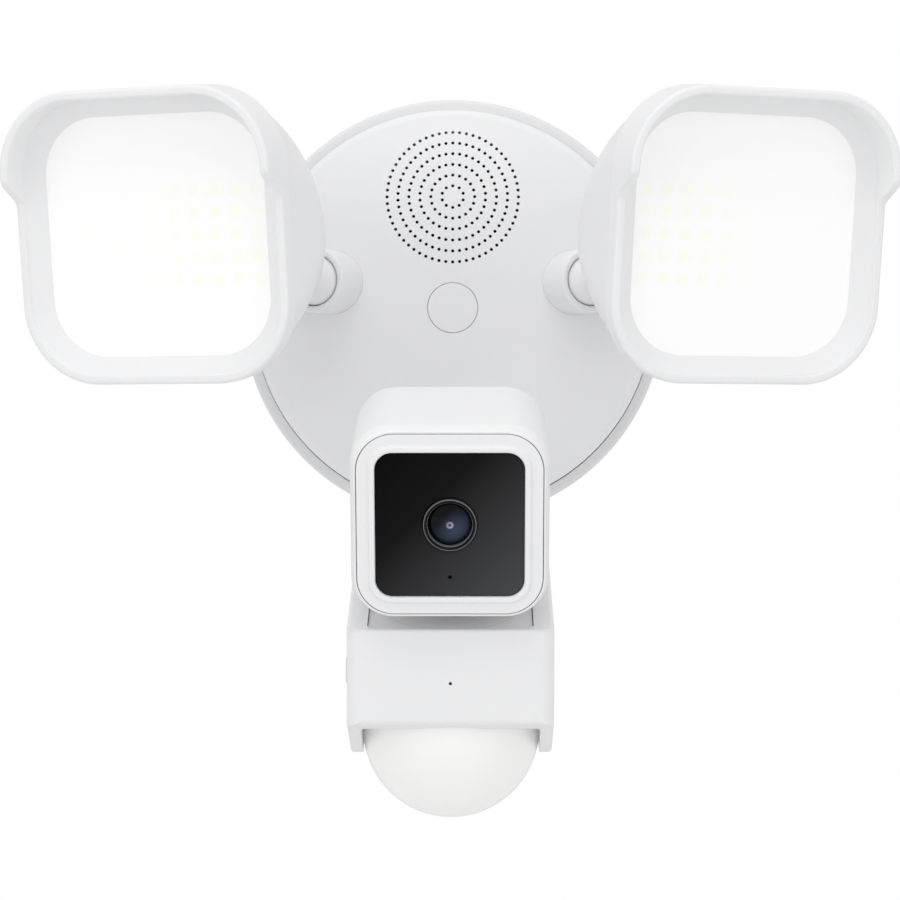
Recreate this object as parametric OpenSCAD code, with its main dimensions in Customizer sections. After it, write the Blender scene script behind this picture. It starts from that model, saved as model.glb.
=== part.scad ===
// Wall-mounted floodlight with a security camera.
// Frame: the wall is the plane y = 0, the object stands out along -Y, +Z is up,
// and the origin is the centre of the round base where it meets the wall.
// The word "left" means -X, as seen by someone who faces the light.

/* [Round base] */
// Radius of the back plate
base_r = 64; // [60:0.5:68]
// Height of the back plate's skirt above the wall
base_skirt_t = 19; // [17:0.5:20]
// Thickness of the foam gasket against the wall
gasket_t = 2; // [1.5:0.5:3]
// Rear face of the web that carries the electronics
web_back_t = 11; // [10:0.5:11.5]
// Front face of that web
web_front_t = 13.5; // [13:0.25:13.5]
// Radius of the front cover
cover_r = 60.4; // [59:0.1:60.6]
// Radius of the cover's rounded edge
cover_edge_r = 3.4; // [2.5:0.1:3.6]
// Height of the cover's domed centre above the wall
cover_top_t = 33; // [32:0.5:35]
// Wall thickness of the moulded shells
shell_wall = 2.5; // [2:0.1:2.5]
// Height of the siren speaker's centre above the origin
speaker_z = 33.4; // [31:0.1:34]
// Radius of the cap over the fixing screw
cap_r = 7.45; // [7:0.05:7.55]
// Distance between the slots for the junction box screws
slot_spacing = 79; // [76:0.5:80]
// Length of each slot
slot_len = 14; // [8:0.5:14]
// Width of each slot
slot_w = 4.4; // [4:0.1:4.6]

/* [Ball sockets] */
// Middle of the socket's mouth
mouth_center = [41.2, -40, 7.8];
// Outward turn of the socket
socket_yaw = 23; // [15:1:25]
// Outer radius of the socket
socket_r = 9.75; // [9.6:0.05:10]
// Radius of the ball
ball_r = 7.6; // [7.4:0.05:7.6]
// Depth of the ball's centre below the mouth
ball_depth = 2.8; // [2.6:0.1:3]
// Radius of the stud's neck
neck_r = 3.2; // [2.8:0.1:3.2]

/* [Lamp heads] */
// Middle of the lamp's front rim
lamp_center = [81.5, -105, 15];
// Outward turn of each lamp
lamp_yaw = 20; // [15:1:22]
// Downward tilt of each lamp
lamp_pitch = 8; // [5:1:10]
// Width and height of the rim
lamp_w = 80; // [80:1:81]
// Corner radius of the rim
lamp_corner_r = 22; // [20:0.5:24]
// Reach of the visor in front of the rim
visor_len = 8; // [6:0.5:9]
// Thickness of the rim at its front edge
rim_t = 2.6; // [2.2:0.1:3]
// Depth from the rim back to the lens
lens_depth = 5; // [4:0.5:5]
// Width of the lens that shows
lens_view_w = 65.5; // [64:0.5:66]
// Wall thickness of the housing
lamp_wall = 2.2; // [1.8:0.1:2.4]
// Rows and columns of LED chips
led_rows = 5; // [4:1:6]
led_cols = 7; // [5:1:7]
// Distance between LED chips
led_pitch = 6; // [5:0.5:6.5]

/* [Pedestal] */
// Width of the pedestal
ped_w = 55.6; // [55:0.1:57]
// Slope of the pedestal's top
top_slope = 18;
// Wall thickness of the pedestal
ped_wall = 2.4; // [2:0.1:2.6]
// Radius of the upright edges at the front
ped_edge_r = 5; // [3:0.5:6]
// Radius of the motion sensor's dome
dome_r = 24.4; // [24:0.1:24.6]
// Wall thickness of that dome
dome_wall = 1.2; // [0.8:0.1:1.5]
// Width of the recess for the camera's foot
recess_w = 44.5; // [43:0.5:45]
// Length of the recess
recess_len = 41.5; // [41:0.5:43]
// Depth of the recess
recess_d = 5; // [4.5:0.25:5]

/* [Camera] */
// Middle of the camera's front
cam_center = [0, -131, -61.9];
// Downward tilt of the camera
cam_tilt = 15;
// Width, height and depth of the camera
cam_w = 52; // [51:0.5:53]
// Width of the front frame
cam_frame_w = 48.5; // [47:0.5:49]
// Width of the black window
window_w = 38.7; // [37:0.1:40]
// Radius of the lens glass
lens_r = 5.8; // [5:0.1:6]
// Distance of the hinge pin behind the front
pin_back = 42;
// Distance of the hinge pin below the camera's underside
pin_drop = 3.4;
// Radius of the hinge pin
pin_r = 1.5; // [1.2:0.1:1.5]

/* [Hidden] */
$fn = 64;

eps = 0.01;
running_gap = 0.3;

// Base: the dome is a large sphere that meets the edge's highest circle.
edge_ring_r = cover_r - cover_edge_r;
edge_top_t = 25.5;
edge_ring_t = edge_top_t - cover_edge_r;
dome_rise = cover_top_t - edge_top_t;
cover_sphere_r = (edge_ring_r * edge_ring_r + dome_rise * dome_rise) / (2 * dome_rise);
cover_sphere_t = cover_top_t - cover_sphere_r;
skirt_wall = base_r - cover_r - 0.6;
cap_seat_t = cover_top_t - 2;
cap_plug_r = cap_r - 0.95;
sleeve_r = 9.4;
boss_at = [36, 38];
boss_r = 4;
screw_r = 1.45;
grommet_at = [-14, -13];
board_t = 16;
pcb_t = 1.6;
arm_hole_z = -38;

// Sockets and ball studs
mouth_out = [sin(socket_yaw), -cos(socket_yaw), 0];
ball_center = mouth_center - ball_depth * mouth_out;
cavity_r = ball_r + 0.35;
pad_inner_r = ball_r + 0.25;
pad_outer_r = pad_inner_r + 1.3;
pad_cavity_r = pad_outer_r + 0.25;
pad_cavity_depth = 4;
pad_half_angle = 35;
socket_len = 22;
socket_foot_r = 12;
socket_foot_x = 33.5;
socket_foot_top_t = 22;
// The stud leans away from the lamp's own axis.
stud_lean = [-21.5, 19.7];
tail_start = 10.5;
tail_r = 8.5;
flange_start = 13.5;
flange_len = 2.4;
flange_r = 6;

// Sections of the lamp's housing, front to back:
// depth, width, corner radius, shift in x, shift in y
lamp_sections = [
    [lens_depth, 79.6, 22.2, 0, 0],
    [18, 76.2, 26, 0, 0],
    [28, 72.6, 28.5, -0.5, -0.2],
    [36, 68, 30, -1.2, -0.5],
    [44, 60.4, 29.6, -2.8, -2],
    [50, 50.6, 25, -4.8, -4],
    [56, 39, 19.2, -7.4, -7],
    [62, 27.5, 13.6, -10, -10.6]
];
lamp_inner_sections = 7;
visor_full_y = 17;
visor_end_y = 9;
led_board_z = -18;
led_board_w = 54;
fin_count = 9;
fin_block_w = 42;
fin_depth = 15;

// Pedestal: the side outline as [distance from the wall, height].
// The head is split from the arm where the outline and the plan both bend.
top_front = [115.1, -90.3];
arm_root_t = 62.3;
ped_outline = [
    top_front,
    [112.9, -115.4],
    [87.4, -126.2],
    [60, -108],
    [22, -50],
    [22, -28],
    [arm_root_t, top_front[1] + (top_front[0] - arm_root_t) * tan(top_slope)]
];
front_lean = atan((ped_outline[0][0] - ped_outline[1][0]) / (ped_outline[0][1] - ped_outline[1][1]));
// The rounding stands a hair proud of the faces that it joins.
edge_center = ped_edge_r - 0.02;
arm_half_w = 22;
arm_end_t = 20;
dome_at = [85.8, -119.5];
dome_cut = 12;
port_at = [98, -101.9];
port_size = [15, 7];
recess_start = 1;
foot_wall = 1.1;
swivel_y = 22;
swivel_r = 19.6;
swivel_top = -0.9;
swivel_t = 2.9;
ear_r = 3;
ear_x = [5, 8];
lug_half_w = 4.6;

// Camera
cam_half = cam_w / 2;
cam_wall = 2;
cam_sections = [
    [0.8, 48.6, 10, 0, 0],
    [2.4, 50.8, 10.7, 0, 0],
    [5, 52, 11, 0, 0],
    [44, 52, 11, 0, 0],
    [48, 50.4, 10.4, 0, 0],
    [50.6, 47, 9.4, 0, 0],
    [52, 42.5, 8, 0, 0]
];
cam_inner_sections = [
    [-1, 45.4, 8.6, 0, 0],
    [4, 48, 9, 0, 0],
    [44, 48, 9, 0, 0],
    [48, 45.5, 8.4, 0, 0],
    [50, 42, 7.5, 0, 0]
];
button_at = 15;
button_r = 2.2;

// ---------- helpers ----------

// Turns the local +Z to point out of the wall, t millimetres in front of it.
module out_of_wall(t) translate([0, -t, 0]) rotate([90, 0, 0]) children();

module lamp_frame() translate(lamp_center) rotate([90 + lamp_pitch, 0, lamp_yaw]) children();

// The stud's frame: its origin is the ball's centre and its +Z runs into the lamp.
module stud_frame() lamp_frame() translate(ball_in_lamp) rotate([stud_lean[0], stud_lean[1], 0])
    children();

// The socket's frame: its origin is the ball's centre and its +Z leaves the mouth.
module socket_frame() translate(ball_center) rotate([90, 0, socket_yaw]) children();

module cam_frame() translate(cam_center) rotate([90 + cam_tilt, 0, 0]) children();

// The pedestal's top: +Y runs up the slope to the rear, and +Z leaves the surface.
module top_frame() translate([0, -top_front[0], top_front[1]]) rotate([top_slope, 0, 0]) children();

// A square with round corners, from rectangles and circles.
module rounded_square(w, r, h = 0) {
    height = h == 0 ? w : h;
    square([w, height - 2 * r], center = true);
    square([w - 2 * r, height], center = true);
    for (sx = [-1, 1])
        for (sy = [-1, 1])
            translate([sx * (w / 2 - r), sy * (height / 2 - r)]) circle(r = r);
}

module rounded_plate(w, r, z0, z1, h = 0) translate([0, 0, z0]) linear_extrude(z1 - z0)
    rounded_square(w, r, h);

module tube(r_out, r_in, z0, z1) translate([0, 0, z0]) difference() {
    cylinder(r = r_out, h = z1 - z0);
    translate([0, 0, -1]) cylinder(r = r_in, h = z1 - z0 + 2);
}

module post(r, z0, z1) translate([0, 0, z0]) cylinder(r = r, h = z1 - z0);

// Extrudes an outline given as [distance from the wall, height] along X.
module side_extrude(outline, w) rotate([90, 0, 90]) linear_extrude(w, center = true)
    polygon([for (p = outline) [-p[0], p[1]]]);

// The outline moved inward by d; its points run clockwise.
function unit(v) = v / norm(v);
function inward(a, b) = let (e = unit(b - a)) [e[1], -e[0]];
function inset(pts, d) = let (n = len(pts)) [
    for (i = [0:n - 1])
        let (
            m = inward(pts[(i + n - 1) % n], pts[i]),
            k = inward(pts[i], pts[(i + 1) % n])
        )
        pts[i] + d * (m + k) / (1 + m * k)
];

// One ring of a loft: corner_steps points round each corner of a rounded square.
corner_steps = 8;
ring_points = 4 * corner_steps;
function ring(s, wall = 0) = [
    for (q = [0:3], k = [0:corner_steps - 1])
        let (
            a = 90 * q + 90 * (k + 0.5) / corner_steps,
            r = s[2] - wall,
            c = s[1] / 2 - s[2],
            sx = q == 0 || q == 3 ? 1 : -1,
            sy = q < 2 ? 1 : -1
        )
        [sx * c + r * cos(a) + s[3], sy * c + r * sin(a) + s[4], -s[0]]
];

// A solid that runs through a list of rings, front to back.
module loft(rings) {
    n = len(rings);
    m = ring_points;
    points = [for (r = rings) for (p = r) p];
    sides = [
        for (i = [0:n - 2], k = [0:m - 1])
            let (a = i * m + k, b = i * m + (k + 1) % m)
            for (f = [[a, b, b + m], [a, b + m, a + m]]) f
    ];
    front = [for (k = [m - 1:-1:0]) k];
    back = [for (k = [0:m - 1]) (n - 1) * m + k];
    polyhedron(points, concat([front], sides, [back]));
}

// The ball's centre in the lamp's frame
function to_lamp(p) = let (
    d = p - lamp_center,
    side = d[0] * cos(lamp_yaw) + d[1] * sin(lamp_yaw),
    fore = d[0] * sin(lamp_yaw) - d[1] * cos(lamp_yaw)
) [
    side,
    fore * sin(lamp_pitch) + d[2] * cos(lamp_pitch),
    fore * cos(lamp_pitch) - d[2] * sin(lamp_pitch)
];
ball_in_lamp = to_lamp(ball_center);
stud_dir = [
    cos(stud_lean[0]) * sin(stud_lean[1]),
    -sin(stud_lean[0]),
    cos(stud_lean[0]) * cos(stud_lean[1])
];
// The housing's last ring is a circle square to the stud.
tail_ring = [
    for (i = [0:ring_points - 1])
        let (
            a = 360 * (i + 0.5) / ring_points,
            x = tail_r * cos(a),
            y = tail_r * sin(a),
            z = y * sin(stud_lean[0])
        )
        ball_in_lamp + tail_start * stud_dir + [
            x * cos(stud_lean[1]) + z * sin(stud_lean[1]),
            y * cos(stud_lean[0]),
            -x * sin(stud_lean[1]) + z * cos(stud_lean[1])
        ]
];

// ---------- round base ----------

module rear_gasket() color("dimgray") out_of_wall(0) tube(base_r - 1, base_r - 8, 0, gasket_t);

module back_plate() color("gainsboro") out_of_wall(0) difference() {
    union() {
        tube(base_r, base_r - skirt_wall, gasket_t, base_skirt_t);
        tube(base_r - 1, base_r - 9, gasket_t, gasket_t + 2);
        post(base_r - 1, web_back_t, web_front_t);
        for (p = [[-38, -26], [38, -26], [0, -45]])
            translate(p) post(2.5, web_front_t - eps, board_t);
    }
    post(2.6, 0, web_front_t + 1);
    translate(grommet_at) post(5, 0, web_front_t + 1);
    at_bosses() post(1.7, 0, web_front_t + 1);
    at_socket_screws() post(1.5, 0, web_front_t + 1);
}

module at_bosses() for (sx = [-1, 1])
    for (sz = [-1, 1])
        translate([sx * boss_at[0], sz * boss_at[1]]) children();

module at_socket_screws() for (sx = [-1, 1])
    for (dx = [-8, 8])
        translate([sx * (socket_foot_x + dx), mouth_center[2]]) children();

module mounting_bracket() color("silver") out_of_wall(0) difference() {
    union() {
        linear_extrude(2) rounded_square(98, 4, 15);
        post(5, 2 - eps, 8);
    }
    post(2, 0.8, 9);
    for (s = [-1, 1])
        translate([s * slot_spacing / 2, 0, -1]) linear_extrude(4) slot_outline();
}

module slot_outline() {
    square([slot_len - slot_w, slot_w], center = true);
    for (s = [-1, 1]) translate([s * (slot_len - slot_w) / 2, 0]) circle(d = slot_w);
}

module center_screw() color("silver") out_of_wall(0) difference() {
    union() {
        post(4.2, web_front_t, web_front_t + 3);
        post(1.95, 1.5, web_front_t + eps);
    }
    translate([0, 0, web_front_t + 2.4]) cube([6, 1.1, 2.4], center = true);
    translate([0, 0, web_front_t + 2.4]) cube([1.1, 6, 2.4], center = true);
}

module wire_grommet() color("black") out_of_wall(0) translate(grommet_at) difference() {
    union() {
        post(6.4, web_back_t - 1.4, web_back_t);
        post(4.95, web_back_t - eps, web_front_t + eps);
        post(6.4, web_front_t, web_front_t + 1.4);
    }
    post(3.8, 0, web_front_t + 3);
}

// The cover's outside, shrunk by d, from the web to its domed front.
module cover_solid(d) {
    post(cover_r - d, web_front_t - (d > 0 ? 1 : 0), edge_ring_t);
    intersection() {
        post(edge_ring_r, web_front_t - (d > 0 ? 1 : 0), cover_top_t + 1);
        translate([0, 0, cover_sphere_t]) sphere(r = cover_sphere_r - d, $fn = 200);
    }
}

module front_cover() color("white") difference() {
    out_of_wall(0) difference() {
        union() {
            difference() {
                union() {
                    cover_solid(0);
                    translate([0, 0, edge_ring_t]) rotate_extrude() translate([edge_ring_r, 0])
                        circle(r = cover_edge_r);
                }
                cover_solid(shell_wall);
            }
            intersection() {
                union() {
                    post(sleeve_r, web_front_t, cover_top_t);
                    at_bosses() post(boss_r, web_front_t, cover_top_t);
                }
                translate([0, 0, cover_sphere_t]) sphere(r = cover_sphere_r - 1, $fn = 200);
            }
        }
        post(cap_r + 0.15, cap_seat_t, cover_top_t + 1);
        post(cap_plug_r + 0.2, 0, cover_top_t);
        translate([0, arm_hole_z]) post(4, web_front_t, cover_top_t + 1);
        at_bosses() post(screw_r + 0.03, 0, web_front_t + 8);
    }
    for (s = [0, 1])
        mirror([s, 0, 0]) socket_frame() post(socket_r + 0.2, -socket_len, 5);
}

module cover_screws() color("silver") out_of_wall(0) at_bosses() {
    post(3.2, web_back_t - 2, web_back_t);
    post(screw_r, web_back_t - eps, web_front_t + 6.5);
}

module screw_cap() color("white") out_of_wall(0) intersection() {
    union() {
        post(cap_r, cap_seat_t, cover_top_t + 1);
        post(cap_plug_r, 23, cap_seat_t + eps);
    }
    translate([0, 0, cover_sphere_t]) sphere(r = cover_sphere_r, $fn = 200);
}

module speaker_frame() color("dimgray") out_of_wall(0) translate([0, speaker_z]) difference() {
    union() {
        post(11, web_front_t, 18);
        post(20, 18 - eps, 23);
    }
    translate([0, 0, 19]) cylinder(r1 = 9, r2 = 17.5, h = 4 + eps);
}

module speaker_cone() color("black") out_of_wall(0) translate([0, speaker_z]) difference() {
    translate([0, 0, 19.4]) cylinder(r1 = 8.4, r2 = 16, h = 3.4);
    translate([0, 0, 20.4]) cylinder(r1 = 7.4, r2 = 15, h = 3.4);
}

module main_board() color("darkgreen") out_of_wall(0) difference() {
    intersection() {
        post(50, board_t, board_t + pcb_t);
        translate([-60, -60, 0]) cube([120, 38, 40]);
    }
    at_bosses() post(boss_r + 0.4, 0, board_t + 5);
}

module transformer() color("goldenrod") out_of_wall(0) difference() {
    translate([4, -43, board_t + pcb_t]) cube([18, 15, 6]);
    for (s = [0, 1]) translate([3.9 + s * 15.1, -43.1, 21.6]) cube([3.1, 15.2, 3]);
}

module capacitors() color("midnightblue") out_of_wall(0) for (x = [-6, -13, -20])
    translate([x, -36]) post(2.8, board_t + pcb_t, 23.5);

module terminal_block() color("forestgreen") out_of_wall(0) difference() {
    translate([-38, -34, board_t + pcb_t]) cube([12, 10, 5]);
    for (x = [-35, -32, -29]) translate([x, -29]) post(1.2, 20.5, 24);
}

// ---------- ball joints ----------

module socket_screws() color("silver") out_of_wall(0) at_socket_screws() {
    post(2.6, web_back_t - 1.6, web_back_t);
    post(1.2, web_back_t - eps, web_front_t + 5);
}

module right_socket() color("white") difference() {
    union() {
        socket_frame() post(socket_r, ball_depth - socket_len, ball_depth);
        out_of_wall(0) translate([socket_foot_x, mouth_center[2]])
            post(socket_foot_r, web_front_t, socket_foot_top_t);
    }
    socket_frame() {
        sphere(r = cavity_r);
        intersection() {
            sphere(r = pad_cavity_r);
            post(20, -20, -pad_cavity_depth);
        }
        translate([0, 0, ball_depth - 0.6]) cylinder(r1 = 7.3, r2 = 8.1, h = 0.6 + eps);
    }
    out_of_wall(0) translate([0, 0, -eps]) post(100, 0, web_front_t);
    out_of_wall(0) at_socket_screws() post(1.25, 0, web_front_t + 5.5);
}

module right_friction_pad() color("gray") socket_frame() intersection() {
    difference() {
        sphere(r = pad_outer_r);
        sphere(r = pad_inner_r);
    }
    rotate([180, 0, 0]) cylinder(r1 = 0, r2 = 10 * tan(pad_half_angle), h = 10);
}

module right_ball_stud() color("white") stud_frame() {
    sphere(r = ball_r);
    post(neck_r, 0, flange_start + eps);
    post(flange_r, flange_start, flange_start + flange_len);
}

module right_stud_retainer() color("silver") stud_frame()
    tube(flange_r + 0.35, 2.5, flange_start + flange_len + 0.1, flange_start + flange_len + 2.1);

// ---------- lamp heads ----------

module right_housing() color("white") difference() {
    lamp_frame() difference() {
        loft(concat([for (s = lamp_sections) ring(s)], [tail_ring]));
        loft(concat(
            [ring(lamp_sections[0] - [1, 0, 0, 0, 0], lamp_wall)],
            [for (i = [0:lamp_inner_sections - 1]) ring(lamp_sections[i], lamp_wall)]
        ));
    }
    stud_frame() post(neck_r + 0.05, tail_start - 4, flange_start + eps);
    stud_frame() post(flange_r + 0.4, flange_start, flange_start + 12);
}

// The visor's side edge rises from the rim in a smooth S.
visor_edge = [
    for (k = [0:10])
        [visor_end_y + (visor_full_y - visor_end_y) * k / 10, visor_len * (1 - cos(18 * k)) / 2]
];

module right_bezel() color("white") lamp_frame() {
    difference() {
        rounded_plate(lamp_w, lamp_corner_r, -lens_depth, 0);
        loft([
            ring([-eps, lamp_w - 2 * rim_t, lamp_corner_r - rim_t, 0, 0]),
            ring([lens_depth + eps, lens_view_w, 16, 0, 0])
        ]);
    }
    intersection() {
        difference() {
            rounded_plate(lamp_w, lamp_corner_r, -eps, visor_len);
            rounded_plate(lamp_w - 2 * rim_t, lamp_corner_r - rim_t, -1, visor_len + 1);
        }
        rotate([90, 0, 90]) linear_extrude(lamp_w + 2, center = true)
            polygon(concat([[visor_end_y, -1]], visor_edge, [[lamp_w, visor_len], [lamp_w, -1]]));
    }
}

module right_lens() color("ivory") lamp_frame()
    rounded_plate(lens_view_w + 3, 17.5, -lens_depth - 2, -lens_depth);

module right_lens_gasket() color("dimgray") lamp_frame() difference() {
    rounded_plate(lens_view_w + 3, 17.5, -lens_depth - 3.2, -lens_depth - 2);
    rounded_plate(lens_view_w - 1, 15.5, -lens_depth - 4, -lens_depth);
}

module right_reflector() color("white") lamp_frame() difference() {
    loft([
        ring([lens_depth + 3.3, lens_view_w + 1, 16, 0, 0]),
        ring([-led_board_z - pcb_t - 0.1, led_board_w, 12, 0, 0])
    ]);
    loft([
        ring([lens_depth + 3.2, lens_view_w - 1, 15, 0, 0]),
        ring([-led_board_z - pcb_t, led_board_w - 2, 11, 0, 0])
    ]);
}

module right_led_board() color("whitesmoke") lamp_frame()
    rounded_plate(led_board_w, 12, led_board_z, led_board_z + pcb_t);

module right_led_chips() color("gold") lamp_frame()
    for (row = [0:led_rows - 1], col = [0:led_cols - 1])
        translate([
            (col - (led_cols - 1) / 2) * led_pitch,
            (row - (led_rows - 1) / 2) * led_pitch,
            led_board_z + pcb_t + 0.35
        ])
            cube([2.8, 2.8, 0.7], center = true);

module right_heat_sink() color("silver") lamp_frame() {
    rounded_plate(led_board_w, 12, led_board_z - 3, led_board_z);
    for (i = [0:fin_count - 1])
        translate([(i / (fin_count - 1) - 0.5) * (fin_block_w - 1.6), 0, led_board_z - 3 - fin_depth / 2])
            cube([1.6, fin_block_w, fin_depth + 2 * eps], center = true);
}

// ---------- pedestal ----------

// The arm narrows toward the base.
module ped_plan(d) rotate([180, 0, 0]) linear_extrude(400, center = true) polygon([
    [arm_half_w - d, arm_end_t],
    [ped_w / 2 - d, arm_root_t],
    [ped_w / 2 - d, 130],
    [-ped_w / 2 + d, 130],
    [-ped_w / 2 + d, arm_root_t],
    [-arm_half_w + d, arm_end_t]
]);

module recess(grow) top_frame()
    translate([-recess_w / 2 - grow, recess_start - grow, -recess_d - grow])
        cube([recess_w + 2 * grow, recess_len + 2 * grow, recess_d + 10]);

module front_edge_cut(s) translate([0, -top_front[0], top_front[1]]) rotate([front_lean, 0, 0])
    translate([s * (ped_w / 2 - edge_center), edge_center, 0]) difference() {
        translate([s > 0 ? 0 : -10, -10, -60]) cube([10, 10, 80]);
        translate([0, 0, -61]) cylinder(r = ped_edge_r, h = 82);
    }

module port_place() translate([-ped_w / 2, -port_at[0], port_at[1]]) rotate([90, 0, -90]) children();

module pedestal_body() difference() {
    intersection() {
        side_extrude(ped_outline, ped_w);
        ped_plan(0);
    }
    difference() {
        intersection() {
            side_extrude(inset(ped_outline, ped_wall), ped_w - 2 * ped_wall);
            ped_plan(ped_wall);
        }
        recess(2);
    }
    recess(0);
    translate([0, -dome_at[0], dome_at[1]]) sphere(r = dome_r + 0.1);
    for (s = [-1, 1]) front_edge_cut(s);
    port_place() rounded_plate(port_size[0] + 0.4, 2, -0.8, 2, port_size[1] + 0.4);
    port_place() translate([0, 0, -2]) cube([13.4, 5.8, 6], center = true);
    out_of_wall(cover_sphere_t) sphere(r = cover_sphere_r, $fn = 200);
}

// Everything between two distances from the wall
module wall_slice(t0, t1) out_of_wall(t0) translate([-100, -150, 0]) cube([200, 200, t1 - t0]);

module pedestal_shell() color("white") intersection() {
    pedestal_body();
    wall_slice(arm_root_t, 130);
}

module pedestal_arm() color("white") intersection() {
    pedestal_body();
    wall_slice(0, arm_root_t);
}

module pir_dome() color("white") translate([0, -dome_at[0], dome_at[1]]) difference() {
    sphere(r = dome_r);
    sphere(r = dome_r - dome_wall);
    translate([-40, -40, dome_cut]) cube([80, 80, 40]);
}

module pir_ring() color("gainsboro") translate([0, -dome_at[0], dome_at[1]])
    tube(21.6, 17, dome_cut, dome_cut + 2);

module pir_board() color("darkgreen") translate([0, -dome_at[0], dome_at[1]])
    post(16.5, dome_cut + 0.2, dome_cut + pcb_t);

module pir_sensor() color("silver") translate([0, -dome_at[0], dome_at[1]]) {
    post(4.1, dome_cut - 4, dome_cut + 0.2);
    post(4.6, dome_cut - 0.6, dome_cut + 0.2);
}

module accessory_port() color("silver") port_place() translate([0, 0, -8]) difference() {
    cube([13.1, 5.5, 14], center = true);
    translate([0, 0, 0.6]) cube([12.3, 4.7, 14], center = true);
}

module port_cover() color("whitesmoke") port_place()
    rounded_plate(port_size[0], 1.9, -0.7, 0.5, port_size[1]);

// The tray fills the recess and holds the turning disc.
module camera_foot() color("white") top_frame() difference() {
    translate([-recess_w / 2 + 0.2, recess_start + 0.2, -recess_d])
        cube([recess_w - 0.4, recess_len - 0.4, recess_d + swivel_top]);
    translate([0, swivel_y]) post(swivel_r + 0.1, -recess_d + foot_wall, 1);
}

// ---------- camera ----------

// Moves to the hinge pin, with X along the pin, in the camera's own frame.
module at_pin() cam_frame() translate([0, -cam_half - pin_drop, -pin_back]) children();

module pin_cylinder(r, half_len) at_pin() rotate([0, 90, 0])
    cylinder(r = r, h = 2 * half_len, center = true);

module swivel_disc() color("white") difference() {
    union() {
        top_frame() translate([0, swivel_y])
            post(swivel_r, -recess_d + foot_wall + 0.1, swivel_top);
        for (s = [-1, 1])
            at_pin() translate([s * (ear_x[0] + ear_x[1]) / 2, 0, 0]) {
                rotate([0, 90, 0]) cylinder(r = ear_r, h = ear_x[1] - ear_x[0], center = true);
                translate([0, -1.4, 0]) cube([ear_x[1] - ear_x[0], 2.8, 2 * ear_r], center = true);
            }
    }
    pin_cylinder(pin_r + 0.02, 10);
    pin_cylinder(ear_r + running_gap, ear_x[0]);
}

module hinge_pin() color("silver") pin_cylinder(pin_r, ear_x[1] + 0.4);

module hinge_lug() color("white") difference() {
    union() {
        pin_cylinder(ear_r, lug_half_w);
        at_pin() translate([-lug_half_w, 0, -ear_r])
            cube([2 * lug_half_w, pin_drop + cam_wall + 0.1, 2 * ear_r]);
        at_pin() translate([-9, pin_drop + cam_wall + 0.06, -2]) cube([18, 1.6, 12]);
    }
    pin_cylinder(pin_r + 0.05, 10);
}

module camera_shell() color("white") cam_frame() difference() {
    loft([for (s = cam_sections) ring(s)]);
    loft([for (s = cam_inner_sections) ring(s)]);
    translate([0, -cam_half, -pin_back])
        cube([2 * lug_half_w + 0.2, 2 * cam_wall + 1, 2 * ear_r + 0.2], center = true);
    translate([0, -cam_half + 5, -button_at]) rotate([90, 0, 0]) cylinder(r = button_r + 0.15, h = 8);
    translate([0, -14, -52]) cube([9.2, 3.6, 8], center = true);
}

module camera_bezel() color("white") cam_frame() difference() {
    union() {
        rounded_plate(cam_frame_w - 0.2, 9.9, -0.78, 0);
        rounded_plate(window_w + 3.4, 6, -eps, 0.8);
        rounded_plate(45, 8.4, -4, -0.7);
    }
    rounded_plate(window_w + 0.2, 4.6, -2.3, 2);
    rounded_plate(window_w - 3, 3.5, -5, 2);
}

module camera_window() color("black") cam_frame() difference() {
    rounded_plate(window_w, 4.5, -2.3, 0);
    post(lens_r + 1.2, -3, 1);
}

module lens_ring() color("dimgray") cam_frame() tube(lens_r + 1.15, lens_r + 0.05, -3, 0.35);

module lens_glass() color("black") cam_frame() intersection() {
    post(lens_r, -2.6, 3);
    translate([0, 0, -12.2]) sphere(r = 12.3);
}

module lens_barrel() color("black") cam_frame() {
    post(lens_r - 0.2, -14, -2.6);
    post(lens_r + 1.6, -16.6, -14 + eps);
}

module camera_board() color("darkgreen") cam_frame() difference() {
    rounded_plate(40, 4, -18.2, -16.6);
    translate([0, -18.5, -18]) cube([10, 6, 5], center = true);
}

module usb_inlet() color("silver") cam_frame() translate([0, -14, -48.4]) difference() {
    cube([9, 3.4, 7.2], center = true);
    translate([0, 0, -0.6]) cube([8.2, 2.6, 7.2], center = true);
}

module setup_button() color("gainsboro") cam_frame() translate([0, -cam_half, -button_at])
    rotate([90, 0, 0]) {
        post(button_r, -cam_wall - 1.2, 0.5);
        post(button_r + 0.9, -cam_wall - 1.2, -cam_wall - 0.1);
    }

// ---------- left-hand copies ----------

module left() mirror([1, 0, 0]) children();
module left_socket() left() right_socket();
module left_friction_pad() left() right_friction_pad();
module left_ball_stud() left() right_ball_stud();
module left_stud_retainer() left() right_stud_retainer();
module left_housing() left() right_housing();
module left_bezel() left() right_bezel();
module left_lens() left() right_lens();
module left_lens_gasket() left() right_lens_gasket();
module left_reflector() left() right_reflector();
module left_led_board() left() right_led_board();
module left_led_chips() left() right_led_chips();
module left_heat_sink() left() right_heat_sink();

// ---------- parts ----------

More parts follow.
